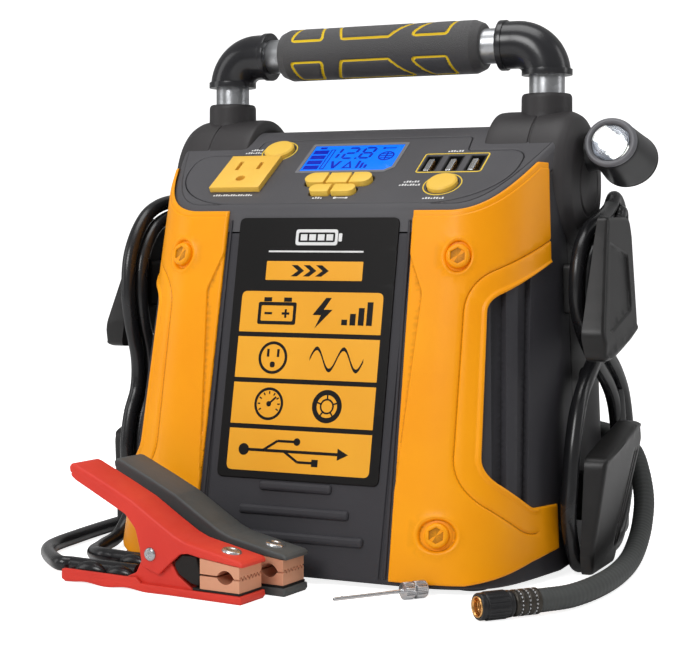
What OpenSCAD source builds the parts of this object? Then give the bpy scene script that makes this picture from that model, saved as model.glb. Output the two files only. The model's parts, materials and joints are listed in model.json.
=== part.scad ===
// Portable jump starter pack: sloped-console case in two shells with bolted
// side covers, fixed tube handle, tilting lamp, panel buttons, cable cleats,
// battery clamps, air hose with a screw-on chuck, and the parts inside.
// Millimetres. Z up, front faces -Y, right is +X, origin on the floor at the
// middle of the foot.

/* [Case] */
// Width over both side covers at the foot
case_w = 246; // [240:2:250]
// Height of the flat rear top
case_h = 232; // [231:0.5:233]
// Lean of the front face back from upright, degrees
front_lean = 11.6; // [11.2:0.1:12]
// Rise of the sloping console towards the rear, degrees
console_rise = 33; // [32.6:0.1:33.4]
// Thickness of the side covers
skin = 2.2; // [1.8:0.1:2.4]
// Wall thickness of the case shells
wall = 3; // [2.6:0.1:3.2]

/* [Handle] */
// Outer radius of the handle tube
tube_r = 9.525; // [9:0.025:9.525]
// Half the distance between the two posts
post_x = 95.4; // [94.8:0.1:96]
// Height of the crossbar's centre line
bar_z = 275.9; // [275:0.1:277]
// Outer radius of the foam grip
grip_r = 14.75; // [14:0.25:15.5]

/* [Lamp] */
// Outer radius of the lamp head
lamp_r = 13; // [12.5:0.25:13]
// Upward tilt of the lamp at rest, degrees
lamp_up = 12; // [10:1:14]

/* [Console] */
// Radius of the AC power button
ac_button_r = 8.5; // [8:0.1:8.6]
// Radius of the jump start button
jump_button_r = 8.1; // [7.6:0.1:8.4]
// How far a button stands above the console
button_h = 2.4; // [2:0.1:2.8]
// Half width of the flush insert at its widest
insert_half_w = 96.6; // [95:0.2:97]
// Half width of the insert's raised middle step
insert_step_w = 62; // [61:0.5:63]

/* [Side covers] */
// Height of the cut-out's flat top
cutout_top = 160.3; // [158:0.1:162]
// Height of the cut-out's low edge
cutout_low = 37.7; // [36:0.1:39]
// Rounding of the cut-out's corners
cutout_round = 8; // [4:1:10]

/* [Clamps] */
// Width of a clamp arm
arm_w = 21; // [20:0.5:22]
// Radius of the clamp pivot pins
pin_r = 2.5; // [2.3:0.1:2.6]

/* [Hose and cables] */
// Radius of the battery cables
cable_r = 3.9; // [3.5:0.1:4]
// Radius of the air hose
hose_r = 5.5; // [5:0.1:5.6]

/* [Compressor gears] */
// Gear module
gear_m = 0.8; // [0.8:0.1:0.8]
// Teeth on the crank gear
crank_teeth = 40; // [40:1:40]
// Teeth on the drive pinion
pinion_teeth = 14; // [14:1:14]

/* [Hidden] */
$fn = 48;
half_w = case_w / 2;
foot_x = 88;
foot_y = [-78, 39];      // front and rear rows of feet
foot_z = 3.2;            // underside of the shells
screw_r = 2.2;           // foot screw holes
datum = -(foot_y[0] + foot_y[1]) / 2; // console datum line to the middle of the foot
front_y0 = -105.16;      // front face at the floor
rear_y = 66;             // rear limit of the outline
seam_y = -5;             // parting plane of the shells
seam_gap = 0.1;
slope_y = -68;           // slope origin: a point on the console plane
slope_z = 187;
deck_depth = 9;          // depth of the top shell below the console
run = 0.06;              // running clearance on pins
cover_gap = 0.12;        // side cover to shell
panel_gap = 0.3;         // round the parts let into the case
bolt_x = 78.5;           // side cover bolts on the front face
bolt_zs = [28.8, 163.6];
bar_y = 14.9;            // handle plane
lamp_at = [135, 15.5, 217.5];
fan_at = [62, 50, 52];
button_yellow = [0.96, 0.8, 0.35];
tube_silver = [0.75, 0.76, 0.77];
cover_orange = [0.96, 0.62, 0.12];
cap_grey = [0.36, 0.36, 0.38];
cleat_black = [0.17, 0.16, 0.16];
jaw_copper = [0.8, 0.58, 0.44];

// ---------- points and paths ----------
function mix(from, to, part) = from + (to - from) * part;
function unit(vector) = vector / norm(vector);
function rotated(point, turn) = [
  point[0] * cos(turn) - point[1] * sin(turn),
  point[0] * sin(turn) + point[1] * cos(turn)];
function bezier(ctrl, part) =
  pow(1 - part, 3) * ctrl[0] + 3 * pow(1 - part, 2) * part * ctrl[1]
  + 3 * (1 - part) * part * part * ctrl[2] + pow(part, 3) * ctrl[3];

// Catmull-Rom point between from and to
function spline(before, from, to, after, part) = 0.5 * (
  2 * from + (to - before) * part
  + (2 * before - 5 * from + 4 * to - after) * part * part
  + (3 * from - before - 3 * to + after) * part * part * part);
// smooth line through control points, with a number of steps in each span
function smooth(ctrl, steps) = let (last = len(ctrl) - 1) concat(
  [for (i = [0:last - 1], j = [0:steps - 1])
    spline(ctrl[max(i - 1, 0)], ctrl[i], ctrl[i + 1], ctrl[min(i + 2, last)], j / steps)],
  [ctrl[last]]);

function heading(path, i) = unit(path[min(i + 1, len(path) - 1)] - path[max(i - 1, 0)]);
function any_normal(along) = unit(cross(along, abs(along[2]) < 0.9 ? [0, 0, 1] : [1, 0, 0]));
// [point, normal, binormal] at each path point; the normal is carried on to limit twist
function path_frames(path, i = 0, carried = [0, 0, 1], done = []) =
  i == len(path) ? done :
  let (
    along = heading(path, i),
    guide = i == 0 ? any_normal(along) : carried,
    normal = unit(guide - along * (guide * along))
  )
  path_frames(path, i + 1, normal, concat(done, [[path[i], normal, cross(along, normal)]]));

// round tube along a list of points
module sweep(path, radius, sides = 10) {
  last = len(path) - 1;
  points = [for (frame = path_frames(path), j = [0:sides - 1])
    frame[0] + radius * cos(360 * j / sides) * frame[1]
    + radius * sin(360 * j / sides) * frame[2]];
  side_faces = [for (i = [0:last - 1], j = [0:sides - 1]) let (next = (j + 1) % sides)
    [i * sides + j, (i + 1) * sides + j, (i + 1) * sides + next, i * sides + next]];
  start_face = [for (j = [0:sides - 1]) j];
  end_face = [for (j = [sides - 1:-1:0]) last * sides + j];
  polyhedron(points = points, faces = concat([start_face], side_faces, [end_face]));
}

// ---------- placing ----------
module both() {
  children();
  mirror([1, 0, 0]) children();
}
module at_datum() translate([0, datum, 0]) children();
// local Z turned to +X or +Y
module facing_x(at) translate(at) rotate([0, 90, 0]) children();
module facing_y(at) translate(at) rotate([-90, 0, 0]) children();
// outline in Y and Z, run along X
module extrude_x(x, length) translate([x, 0, 0]) rotate([90, 0, 90])
  linear_extrude(length) children();
// outline in X and Z, run along Y between two places
module extrude_y(y0, y1) translate([0, y1, 0]) rotate([90, 0, 0])
  linear_extrude(y1 - y0) children();
module turned() rotate_extrude(angle = 360, $fn = 72) children();

// slope frame: x across, up along the slope, height square to the console
module on_slope(x = 0, up = 0, height = 0) translate([0, slope_y, slope_z])
  rotate([console_rise, 0, 0]) translate([x, up, height]) children();
// the same, with y measured level from the datum line
module on_console(x, y, height = 0)
  on_slope(x, (y - slope_y) / cos(console_rise), height) children();
// everything above the console plane moved along its normal
module above_console(height) on_slope(-200, -120, height) cube([400, 420, 200]);
// front face frame: local Z points out of the face
module on_front(x, z, height = 0) translate([0, front_y0, 0]) rotate([-front_lean, 0, 0])
  translate([x, -height, z / cos(front_lean)]) rotate([90, 0, 0]) children();
module at_bolts(height) for (z = bolt_zs) on_front(bolt_x, z, height) children();

// ---------- case outline ----------
flank_draw = 10.2; // how far each flank comes in over the outline's height

// right half of the level section at height z, drawn in by inset
function half_outline(z, inset) =
  let (
    part = (z - 3) / 219,
    front_y = front_y0 + z * tan(front_lean),
    flank_x = mix(half_w, half_w - flank_draw, part) - inset,
    front = [ // x, y behind the front face
      [mix(70, 74, part), inset - skin],
      [mix(112, 92, part) - inset, mix(3, 0.8, part) - 1.4 + inset],
      [mix(113, 103, part) - inset, mix(20, 18, part) + inset],
      [flank_x, mix(70, 46, part)]],
    rear = [ // x, y
      [flank_x - 1.5, rear_y - 20],
      [flank_x - 2, rear_y - inset - 4],
      [flank_x - 6, rear_y - inset],
      [flank_x - 20, rear_y - inset]]
  )
  concat(
    [for (i = [0:9]) bezier(front, i / 9) + [0, front_y]],
    [for (i = [0:5]) bezier(rear, i / 5)]);
function outline(z, inset) = let (half = half_outline(z, inset))
  concat(half, [for (i = [len(half) - 1:-1:0]) [-half[i][0], half[i][1]]]);

// solid case form between two heights
module loft(inset, low, high) hull() {
  translate([0, 0, low]) linear_extrude(0.01) polygon(outline(low, inset));
  translate([0, 0, high - 0.01]) linear_extrude(0.01) polygon(outline(high, inset));
}

// ---------- shoulder caps ----------
shoulder_r = 35.6;
shoulder_in_x = 73;   // inner end of the half barrel
shoulder_out_x = 118;
shoulder_disc_x = 107; // inner face of the full disc
shoulder_ledge_z = 197; // underside of the half barrel
cap_wall = 3;
socket_r = 13.5;      // sleeve round each post
tube_fit = 0.05;
lamp_pin_r = 5;

module barrel(radius, x0, x1) facing_x([x0, 15, 200])
  cylinder(r = radius, h = x1 - x0, $fn = 96);
// half barrel above the ledge with a full disc at its outer end
module shoulder_form(gap) {
  intersection() {
    barrel(shoulder_r + gap, shoulder_in_x - gap, shoulder_out_x);
    translate([70, -40, shoulder_ledge_z - gap]) cube([60, 110, 60]);
  }
  barrel(shoulder_r + gap, shoulder_disc_x - gap, shoulder_out_x);
}
module shoulder_cap() difference() {
  union() {
    difference() {
      union() {
        shoulder_form(0);
        translate([post_x, bar_y, 225]) cylinder(r = socket_r, h = 24);
      }
      // hollow round the sleeve
      difference() {
        barrel(shoulder_r - cap_wall, shoulder_in_x + cap_wall, shoulder_out_x - cap_wall);
        translate([post_x, bar_y, 198]) cylinder(r = 13.4, h = 40);
      }
      // slab against the disc, below the ledge
      translate([shoulder_disc_x - 3, -40, 150]) cube([3, 110, 46.9]);
    }
    intersection() {
      translate([post_x, bar_y, 198]) cylinder(r = socket_r, h = 45);
      barrel(34, shoulder_in_x + cap_wall, shoulder_out_x - cap_wall);
    }
  }
  translate([post_x, bar_y, 190]) cylinder(r = tube_r + tube_fit, h = 80);
}
// the right cap carries the lamp's pivot stub
module shoulder_cap_right() color(cap_grey) at_datum() {
  shoulder_cap();
  facing_x([shoulder_out_x - 0.5, lamp_at[1], lamp_at[2]]) cylinder(r = lamp_pin_r, h = 9);
}
module shoulder_cap_left() color(cap_grey) at_datum() mirror([1, 0, 0]) shoulder_cap();

// ---------- console layout ----------
outlet_at = [-57.5, -39]; // x, y from the datum line, as for the next three
usb_at = [59.3, -30.4];
ac_button_at = [-48.3, -17.4];
jump_button_at = [60.5, -48.4];
outlet_block = [26, 28];
usb_block = [34, 16.6];
hole_low = -12;  // panel holes, from below the console
hole_h = 14;

// rows of small buttons: low and high edge, up the slope
upper_row = [23.3, 33.1];
lower_row = [14, 21.4];
// left x, right x, row, round left end, round right end
minus_key = [-18.6, -6.6, upper_row, true, false];
air_key = [-5.2, 6.9, upper_row, false, false];
plus_key = [8.3, 19.6, upper_row, false, true];
lamp_key = [-12.1, -0.5, lower_row, true, false];
usb_key = [1.4, 14, lower_row, false, true];
small_keys = [minus_key, air_key, plus_key, lamp_key, usb_key];

// block of a small button, grown all round by a gap
module key_form(key, gap, height) {
  left = key[0] - gap;
  right = key[1] + gap;
  low = key[2][0] - gap;
  high = key[2][1] + gap;
  end_r = (high - low) / 2;
  left_r = key[3] ? end_r : 0;
  right_r = key[4] ? end_r : 0;
  linear_extrude(height) union() {
    translate([left + left_r, low]) square([right - left - left_r - right_r, high - low]);
    if (key[3]) translate([left + end_r, low + end_r]) circle(r = end_r);
    if (key[4]) translate([right - end_r, low + end_r]) circle(r = end_r);
  }
}
module block_hole(at, size) on_console(at[0], at[1])
  translate([-size[0] / 2 - panel_gap, -size[1] / 2 - panel_gap, hole_low])
    cube([size[0] + 2 * panel_gap, size[1] + 2 * panel_gap, hole_h]);
module round_hole(at, radius) on_console(at[0], at[1], hole_low)
  cylinder(r = radius + panel_gap, h = hole_h);
module console_holes() {
  on_slope(-28.3, 37.85, hole_low) cube([54.1, 28.1, hole_h]); // display
  block_hole(outlet_at, outlet_block);
  block_hole(usb_at, usb_block);
  round_hole(ac_button_at, ac_button_r);
  round_hole(jump_button_at, jump_button_r);
  for (key = small_keys) on_slope(height = hole_low) key_form(key, panel_gap, hole_h);
}

// flush insert, seen square on: an elliptical sweep at each low corner, a rounded
// shoulder above it and a raised step in the middle; second value runs up the slope
module fascia_shape(gap) {
  low = 5.9;
  sweep_top = 44;
  sweep_x = 54;
  shelf = 57;
  top = 71.8;
  corner_r = 9;
  half = concat(
    [[0, low]],
    [for (turn = [0:9:90]) [
      sweep_x + (insert_half_w - sweep_x) * sin(turn),
      sweep_top - (sweep_top - low) * cos(turn)]],
    [for (turn = [0:15:90]) [
      insert_half_w - corner_r + corner_r * cos(turn),
      shelf - corner_r + corner_r * sin(turn)]],
    [[insert_step_w + 1.5, shelf], [insert_step_w, top], [0, top]]);
  offset(delta = gap) offset(r = 3) offset(r = -6) offset(r = 3)
    polygon(concat(half, [for (i = [len(half) - 2:-1:1]) [-half[i][0], half[i][1]]]));
}

// ---------- shells ----------
rib_r = 2.5;
ribs = [[18, 46.5], [28.5, 34.4], [37.5, 21.9]]; // half length, height on the front face
slot_w = 2.4;
slot_h = 32;
slot_pitch = 4.2;

module foot_holes(y) both() translate([foot_x, y, 0])
  cylinder(r = screw_r, h = foot_z + wall + 1);
module front_shell() color([0.24, 0.24, 0.26]) at_datum() {
  difference() {
    intersection() {
      loft(skin, foot_z, case_h);
      translate([-200, -200, 0]) cube([400, 200 + seam_y - seam_gap, 300]);
    }
    loft(skin + wall, foot_z + wall, case_h + 1);
    above_console(-deck_depth - seam_gap);
    both() shoulder_form(panel_gap);
    both() at_bolts(-6) cylinder(r = 2.6, h = 12);
    foot_holes(foot_y[0]);
  }
  // round-ended ribs low on the face
  for (rib = ribs) on_front(-rib[0], rib[1], -0.6) rotate([0, 90, 0]) {
    cylinder(r = rib_r, h = 2 * rib[0]);
    sphere(r = rib_r);
    translate([0, 0, 2 * rib[0]]) sphere(r = rib_r);
  }
}
module rear_shell() color([0.16, 0.16, 0.17]) at_datum() difference() {
  intersection() {
    loft(skin, foot_z, case_h);
    translate([-200, seam_y, 0]) cube([400, 200, 300]);
  }
  loft(skin + wall, foot_z + wall, case_h - wall);
  above_console(-deck_depth - seam_gap);
  both() shoulder_form(panel_gap);
  foot_holes(foot_y[1]);
  // fan grille
  for (i = [-4:4])
    translate([fan_at[0] + i * slot_pitch - slot_w / 2, 55, fan_at[2] - slot_h / 2])
      cube([slot_w, 20, slot_h]);
}
module top_shell() color([0.38, 0.38, 0.4]) at_datum() difference() {
  intersection() {
    loft(skin, foot_z, case_h);
    above_console(-deck_depth);
  }
  above_console(0);
  // hollow below the deck
  intersection() {
    loft(skin + wall, foot_z, case_h - wall);
    difference() {
      above_console(-deck_depth - 0.5);
      above_console(-deck_depth / 2);
    }
  }
  both() shoulder_form(panel_gap);
  on_slope(height = -2.2) linear_extrude(10) fascia_shape(panel_gap);
  console_holes();
}
module fascia_plate() color([0.42, 0.42, 0.44]) at_datum() difference() {
  on_slope(height = -2.1) linear_extrude(2.1) fascia_shape(0);
  console_holes();
}

// ---------- side covers, label and feet ----------
// limits of a cover seen from the front: x, z
cover_front_view = [[55.1, 5.4], [54.9, 20], [52.6, 183], [52.5, case_h],
  [140, case_h], [140, 5.4]];
// limits seen from the side: y, z
cover_side_view = [[-125, 5], [-102, 5.4], [-85, 9], [-66, 12.5], [-38.5, 15.5], [-37, 60],
  [-25, 205], [-20, case_h], [-125, case_h]];
// cut-out in the flank: y, z
cutout_outline = [[20, cutout_top], [-24, cutout_top], [-70.5, cutout_top - 17.8],
  [-87.8, cutout_low + 19.3], [-62, cutout_low + 0.9], [20, cutout_low]];
label_size = [91, 136, 0.8];

module cladding() difference() {
  intersection() {
    loft(0, foot_z + 2, case_h);
    extrude_y(-300, 300) polygon(cover_front_view);
    extrude_x(0, 200) polygon(cover_side_view);
  }
  loft(skin - cover_gap, 0, case_h + 5);
  above_console(0.4);
  extrude_x(80, 60) offset(r = cutout_round) offset(r = -cutout_round)
    polygon(cutout_outline);
  at_bolts(-5) cylinder(r = 8.7, h = 20);
}
module cladding_right() color(cover_orange) at_datum() cladding();
module cladding_left() color(cover_orange) at_datum() mirror([1, 0, 0]) cladding();
// washer, hexagon head and shank
module cladding_bolts() color([0.93, 0.6, 0.1]) at_datum() both() at_bolts(0) {
  translate([0, 0, 0.1]) cylinder(r = 8.2, h = 1);
  cylinder(r = 6.6, h = 4.2, $fn = 6);
  translate([0, 0, -8]) cylinder(r = 2.5, h = 8.5);
}
module info_label() color([0.13, 0.12, 0.13]) at_datum() on_front(0, 116.1)
  translate([-label_size[0] / 2, -label_size[1] / 2, 0.02]) cube(label_size);
module rubber_feet() color([0.1, 0.1, 0.1]) at_datum()
  both() for (y = foot_y) translate([foot_x, y, 0]) difference() {
    cylinder(r = 9, h = foot_z);
    translate([0, 0, -1]) cylinder(r = screw_r, h = foot_z + 2);
  }

// ---------- handle ----------
tube_wall = 1.6;
post_low_z = 201;
post_top_drop = 12.9; // post top below the crossbar's centre line
bar_length = 155;
bend_r = 17;
elbow_r = 12.75;
collar_r = 13.6;
collar_h = 3.2;
elbow_arm = 8.65;     // straight part towards the crossbar
grip_length = 121;
grip_taper = 5;       // length of each tapered end

module tube(length, bore_length) difference() {
  cylinder(r = tube_r, h = length);
  translate([0, 0, -1]) cylinder(r = tube_r - tube_wall, h = bore_length);
}
module handle_posts() color(tube_silver) at_datum() both()
  translate([post_x, bar_y, post_low_z]) tube(bar_z - post_top_drop - post_low_z, 80);
module handle_crossbar() color(tube_silver) at_datum()
  facing_x([-bar_length / 2, bar_y, bar_z]) tube(bar_length, bar_length + 2);
// origin at the centre of the bend
module handle_elbow() difference() {
  union() {
    rotate([90, 0, 0]) rotate_extrude(angle = 90, $fn = 72)
      translate([bend_r, 0]) circle(r = elbow_r);
    facing_x([-elbow_arm, 0, bend_r]) cylinder(r = elbow_r, h = 8.7);
    facing_x([-elbow_arm, 0, bend_r]) cylinder(r = collar_r, h = collar_h);
    translate([bend_r, 0, 0]) cylinder(r = collar_r, h = collar_h);
  }
  translate([bend_r, 0, -5]) cylinder(r = tube_r + tube_fit, h = 9.2);
  facing_x([-15, 0, bend_r]) cylinder(r = tube_r + tube_fit, h = 14.2);
}
module handle_elbows() color([0.2, 0.2, 0.21]) at_datum() both()
  translate([post_x - bend_r, bar_y, bar_z - bend_r]) handle_elbow();
module handle_grip() color([0.26, 0.26, 0.27]) at_datum()
  facing_x([-grip_length / 2, bar_y, bar_z]) turned() polygon([
    [tube_r + tube_fit, 0], [grip_r - 2, 0], [grip_r, grip_taper],
    [grip_r, grip_length - grip_taper], [grip_r - 2, grip_length],
    [tube_r + tube_fit, grip_length]]);

// ---------- console parts ----------
button_low = -8;   // round buttons start below the console
button_edge = 0.8; // height of a round button's bevel
usb_low = -15;
usb_pitch = 12.3;

module ac_outlet() color([0.98, 0.82, 0.43]) at_datum()
  on_console(outlet_at[0], outlet_at[1]) difference() {
    union() {
      translate([-15, -16.5, 0.05]) cube([30, 33, 3]);
      translate([-outlet_block[0] / 2, -outlet_block[1] / 2, -20])
        cube([outlet_block[0], outlet_block[1], 20.2]);
    }
    // two slots and a round hole
    translate([-7.45, 1.5, -14]) cube([2.2, 9, 20]);
    translate([5.25, 2.3, -14]) cube([2.2, 7.4, 20]);
    translate([0, -7, -14]) cylinder(r = 2.7, h = 20);
  }
module lcd_window() color([0, 0.5, 0.95]) at_datum() on_slope() {
  translate([0, 0, -1.9]) linear_extrude(2.0)
    polygon([[-28, 38.15], [21.5, 38.15], [25.5, 42.6], [25.5, 65.6], [-28, 65.6]]);
  translate([-26, 41, -7]) cube([48, 22, 5.2]);
}
module control_board() color([0.1, 0.35, 0.2]) at_datum() on_slope() {
  translate([-36, 12, -17.6]) cube([74, 52, 1.6]);
  for (x = [-30, 32]) translate([x, 16, -16]) cube([5, 5, 4]);
}
module round_button(at, radius) on_console(at[0], at[1]) {
  translate([0, 0, button_low]) cylinder(r = radius, h = button_h - button_edge - button_low);
  translate([0, 0, button_h - button_edge])
    cylinder(r1 = radius, r2 = radius - 0.9, h = button_edge);
  translate([0, 0, button_low]) cylinder(r = radius + 1.2, h = 1.6);
}
module ac_power_button() color(button_yellow) at_datum()
  round_button(ac_button_at, ac_button_r);
module jump_start_button() color(button_yellow) at_datum()
  round_button(jump_button_at, jump_button_r);
// key with a flange at its foot
module small_button(key) at_datum() on_slope() {
  translate([0, 0, -7]) key_form(key, 0, 7 + button_h);
  translate([0, 0, -7.4]) key_form(key, 0.5, 1.4);
}
module minus_button() color(button_yellow) small_button(minus_key);
module air_button() color(button_yellow) small_button(air_key);
module plus_button() color(button_yellow) small_button(plus_key);
module lamp_button() color(button_yellow) small_button(lamp_key);
module usb_button() color(button_yellow) small_button(usb_key);
module usb_ports() color([0.12, 0.12, 0.13]) at_datum()
  on_console(usb_at[0], usb_at[1]) difference() {
    half = usb_block / 2;
    union() {
      translate([-half[0], -half[1], -6]) cube([usb_block[0], usb_block[1], 5.7]);
      translate([-half[0], -half[1], usb_low]) cube([usb_block[0], half[1], 10]);
      translate([-half[0], -half[1], usb_low]) cube([29.5, usb_block[1], 10]);
    }
    // three ports, each with a tongue left standing
    for (i = [-1:1]) difference() {
      translate([i * usb_pitch - 2.9, -7, -13]) cube([5.8, 14, 20]);
      translate([i * usb_pitch - 0.2, -5.6, -14]) cube([2, 11.2, 10.5]);
    }
  }

// ---------- lamp ----------
lamp_back_r = lamp_r + 1.7;
// radius, distance along the lamp axis
bezel_section = [[9.6, -20.5], [lamp_r - 0.8, -20.5], [lamp_r, -19.7], [lamp_r, -17.1],
  [9.6, -17.1]];
reflector_section = [[10.8, -17], [9.4, -17], [7.4, -12], [4.4, -8.2], [2, -7], [2, -6],
  [5, -6.6], [8.4, -10.6], [10.8, -15.5]];

// local Y runs along the lamp, its open end towards -Y
module lamp_frame() translate(lamp_at) rotate([-lamp_up, 0, 0]) children();
module lamp_shell() color([0.17, 0.17, 0.18]) at_datum() lamp_frame() difference() {
  union() {
    facing_y([0, -17, 0]) cylinder(r1 = lamp_r, r2 = lamp_back_r, h = 34);
    facing_y([0, 17, 0]) cylinder(r = lamp_back_r, h = 2.5);
    facing_y([0, 19.5, 0]) cylinder(r1 = lamp_back_r, r2 = lamp_back_r - 5, h = 5);
    facing_x([-16.5, 0, 0]) cylinder(r = 10.5, h = 8);
  }
  facing_y([0, -18, 0]) cylinder(r = lamp_r - 2, h = 28);
  facing_x([-17, 0, 0]) cylinder(r = lamp_pin_r + run, h = 12);
}
module lamp_bezel() color([0.14, 0.14, 0.15]) at_datum() lamp_frame()
  rotate([-90, 0, 0]) turned() polygon(bezel_section);
module lamp_lens() color([0.9, 0.93, 0.95]) at_datum() lamp_frame()
  facing_y([0, -19.3, 0]) cylinder(r = 9.5, h = 1.6);
module lamp_reflector() color([0.85, 0.86, 0.88]) at_datum() lamp_frame()
  rotate([-90, 0, 0]) turned() polygon(reflector_section);

// ---------- cleats ----------
// leaning plate section beyond its inner top corner: x, z
cleat_section = [[139, 183], [140.3, 170], [145, 126], [146, 120], [145.6, 112.5],
  [143.5, 110.5], [138, 110.5], [135.6, 115], [135.4, 122]];
// plate seen from the side: y, z
cleat_side_view = [[-18, 183], [-23, 173], [-45, 125], [-44, 111], [-33, 110.5],
  [20, 124.5], [26, 173], [24, 183]];
cleat_turn_at = [0, -9, 93]; // the lower plate is the upper one turned about here

// wrap-round plate; inner_x trims its inner face
module cleat_plate(inner_x) intersection() {
  extrude_y(-100, 100) polygon(concat([[inner_x, 183]], cleat_section));
  extrude_x(100, 60) offset(r = 4) offset(r = -4) polygon(cleat_side_view);
}
// foot that joins a plate to the case side
module cleat_foot(section) difference() {
  extrude_y(-4, 18) polygon(section);
  loft(skin - 0.02, 0, 240);
}
module cleat_upper() {
  cleat_plate(133);
  cleat_foot([[111, 134], [134.8, 132], [134, 158], [111, 160]]);
}
module cleat_lower() {
  translate(cleat_turn_at) rotate([180, 0, 0]) translate(-cleat_turn_at) cleat_plate(133.4);
  cleat_foot([[111, 28], [134.4, 28], [134.8, 56], [111, 56]]);
}
module cleat_upper_right() color(cleat_black) at_datum() cleat_upper();
module cleat_lower_right() color(cleat_black) at_datum() cleat_lower();
module cleat_upper_left() color(cleat_black) at_datum() mirror([1, 0, 0]) cleat_upper();
module cleat_lower_left() color(cleat_black) at_datum() mirror([1, 0, 0]) cleat_lower();

// ---------- clamps ----------
// Clamp frame: x along the clamp with the jaws near 0 and the grips towards -x,
// y across the arms, z up.
red_at = [2.2, -162.1, 0];
black_at = red_at + [10.5, 24.8, 0];
clamp_turn = 5.71; // degrees clockwise seen from above
pin_x = -50.7;
pin_z = 19.3;
// side views: x, z
upper_arm_outline = [[-101, 58.5], [-99.5, 60.5], [-97, 60], [-62, 44.5], [-36, 29.2],
  [-30, 26.8], [1.5, 20.6], [3, 19.4], [3, 17.7], [-22, 20.3], [-33, 21], [-39, 16],
  [-46, 9.6], [-56, 13], [-57.5, 22], [-60, 31], [-66, 37.5], [-97, 52], [-100.5, 54]];
upper_arm_hollow = [[-99, 56.5], [-62, 41.2], [-36, 26], [-30, 23.8], [-22.2, 22],
  [-22.2, 0], [-70, 0], [-99, 40]];
lower_arm_outline = [[-106.7, 5.8], [-106.7, 1.5], [-105, 0], [1.5, 0], [2.6, 1.6],
  [2, 4.6], [-22, 5], [-60, 5], [-66, 6.6], [-105.5, 6.6]];
lower_arm_hollow = [[-110, 2.4], [-62, 2.4], [-58, 8], [-110, 8]];
ear_outline = [[-68, 3], [-68, 6], [-61, 9], [-57.5, 16], [-56.5, 24], [-52, 27.3],
  [-46, 26], [-41, 18], [-36, 10], [-27, 4]];
upper_jaw_outline = [[-22, 12.5], [0.7, 12.5], [0.7, 17.6], [-22, 20.0]];
lower_jaw_outline = [[-22, 5.1], [0, 4.8], [0.7, 11.9], [-22, 11.9]];

module clamp_frame(at) at_datum() translate(at) rotate([0, 0, -clamp_turn]) children();
module pin_hole() facing_y([pin_x, -5, pin_z]) cylinder(r = pin_r + run, h = 40);
module upper_arm() difference() {
  extrude_y(0, arm_w) polygon(upper_arm_outline);
  extrude_y(2, arm_w - 2) polygon(upper_arm_hollow);
  pin_hole();
}
module lower_arm() difference() {
  union() {
    difference() {
      extrude_y(0, arm_w) polygon(lower_arm_outline);
      extrude_y(2, arm_w - 2) polygon(lower_arm_hollow);
    }
    // ears that carry the pin, inside the upper arm
    for (y = [2.3, arm_w - 4.3]) extrude_y(y, y + 2) polygon(ear_outline);
  }
  pin_hole();
}
// jaw with a round groove across its meeting face
module jaw(side_view) difference() {
  extrude_y(1, arm_w - 1) polygon(side_view);
  facing_y([-6.3, -5, 12.2]) cylinder(r = 2.6, h = 40);
}
module pivot_pin() facing_y([pin_x, 0, pin_z]) {
  translate([0, 0, -1]) cylinder(r = pin_r, h = arm_w + 2);
  translate([0, 0, -1.3]) cylinder(r = 3.4, h = 1.2);
  translate([0, 0, arm_w + 0.1]) cylinder(r = 3.4, h = 1.2);
}
// the spring is a plain sleeve
module clamp_spring() facing_y([pin_x, 5, pin_z]) difference() {
  cylinder(r = 6.2, h = 11);
  translate([0, 0, -1]) cylinder(r = 4.4, h = 13);
}
module red_upper_arm() color([0.88, 0.31, 0.24]) clamp_frame(red_at) upper_arm();
module red_lower_arm() color([0.72, 0.2, 0.17]) clamp_frame(red_at) lower_arm();
module red_upper_jaw() color(jaw_copper) clamp_frame(red_at) jaw(upper_jaw_outline);
module red_lower_jaw() color(jaw_copper) clamp_frame(red_at) jaw(lower_jaw_outline);
module red_pivot_pin() color([0.8, 0.8, 0.8]) clamp_frame(red_at) pivot_pin();
module red_spring() color([0.5, 0.5, 0.5]) clamp_frame(red_at) clamp_spring();
module black_upper_arm() color([0.32, 0.33, 0.33]) clamp_frame(black_at) upper_arm();
module black_lower_arm() color([0.26, 0.27, 0.27]) clamp_frame(black_at) lower_arm();
module black_upper_jaw() color(jaw_copper) clamp_frame(black_at) jaw(upper_jaw_outline);
module black_lower_jaw() color(jaw_copper) clamp_frame(black_at) jaw(lower_jaw_outline);
module black_pivot_pin() color([0.8, 0.8, 0.8]) clamp_frame(black_at) pivot_pin();
module black_spring() color([0.5, 0.5, 0.5]) clamp_frame(black_at) clamp_spring();

// ---------- cables ----------
coil_at = [126.3, 8, 98];
coil_half_y = 30;
coil_half_z = 79;
coil_growth = 10;  // in a full turn
coil_sweep = 340;  // degrees
coil_steps = 44;
// x, y, z from the case side to the coil
black_lead_in = [[-118.2, 8, 96], [-119.8, 7.9, 95.9], [-121.7, 4, 92.5], [-124.8, -8, 84]];
red_lead_in = [[118.2, 8, 100], [119.8, 8.1, 100.1], [121.7, 12, 103.5], [124.8, 24, 112]];
// x, y, z from the coil towards the clamp; the red one passes behind the case
black_lead_out = [[-126.3, -29, 72], [-127, -38, 28], [-128, -58, 8], [-125, -80, 4.4],
  [-118, -100, 4.8]];
red_lead_out = [[126.3, 50, 58], [126, 62, 20], [118, 78, 5.5], [90, 86, 4.2], [0, 88, 4.2],
  [-110, 86, 4.2], [-145, 70, 4.2], [-156, 35, 4.2], [-158, -10, 4.2], [-156, -60, 4.2],
  [-148, -100, 4.4]];
// x, z in the clamp frame, along the middle of the arm
clamp_run = [[-118, 7.2], [-107, 6.9], [-90, 6.6], [-66, 6.6]];

function power(value, exponent) = sign(value) * pow(abs(value), exponent);
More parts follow.
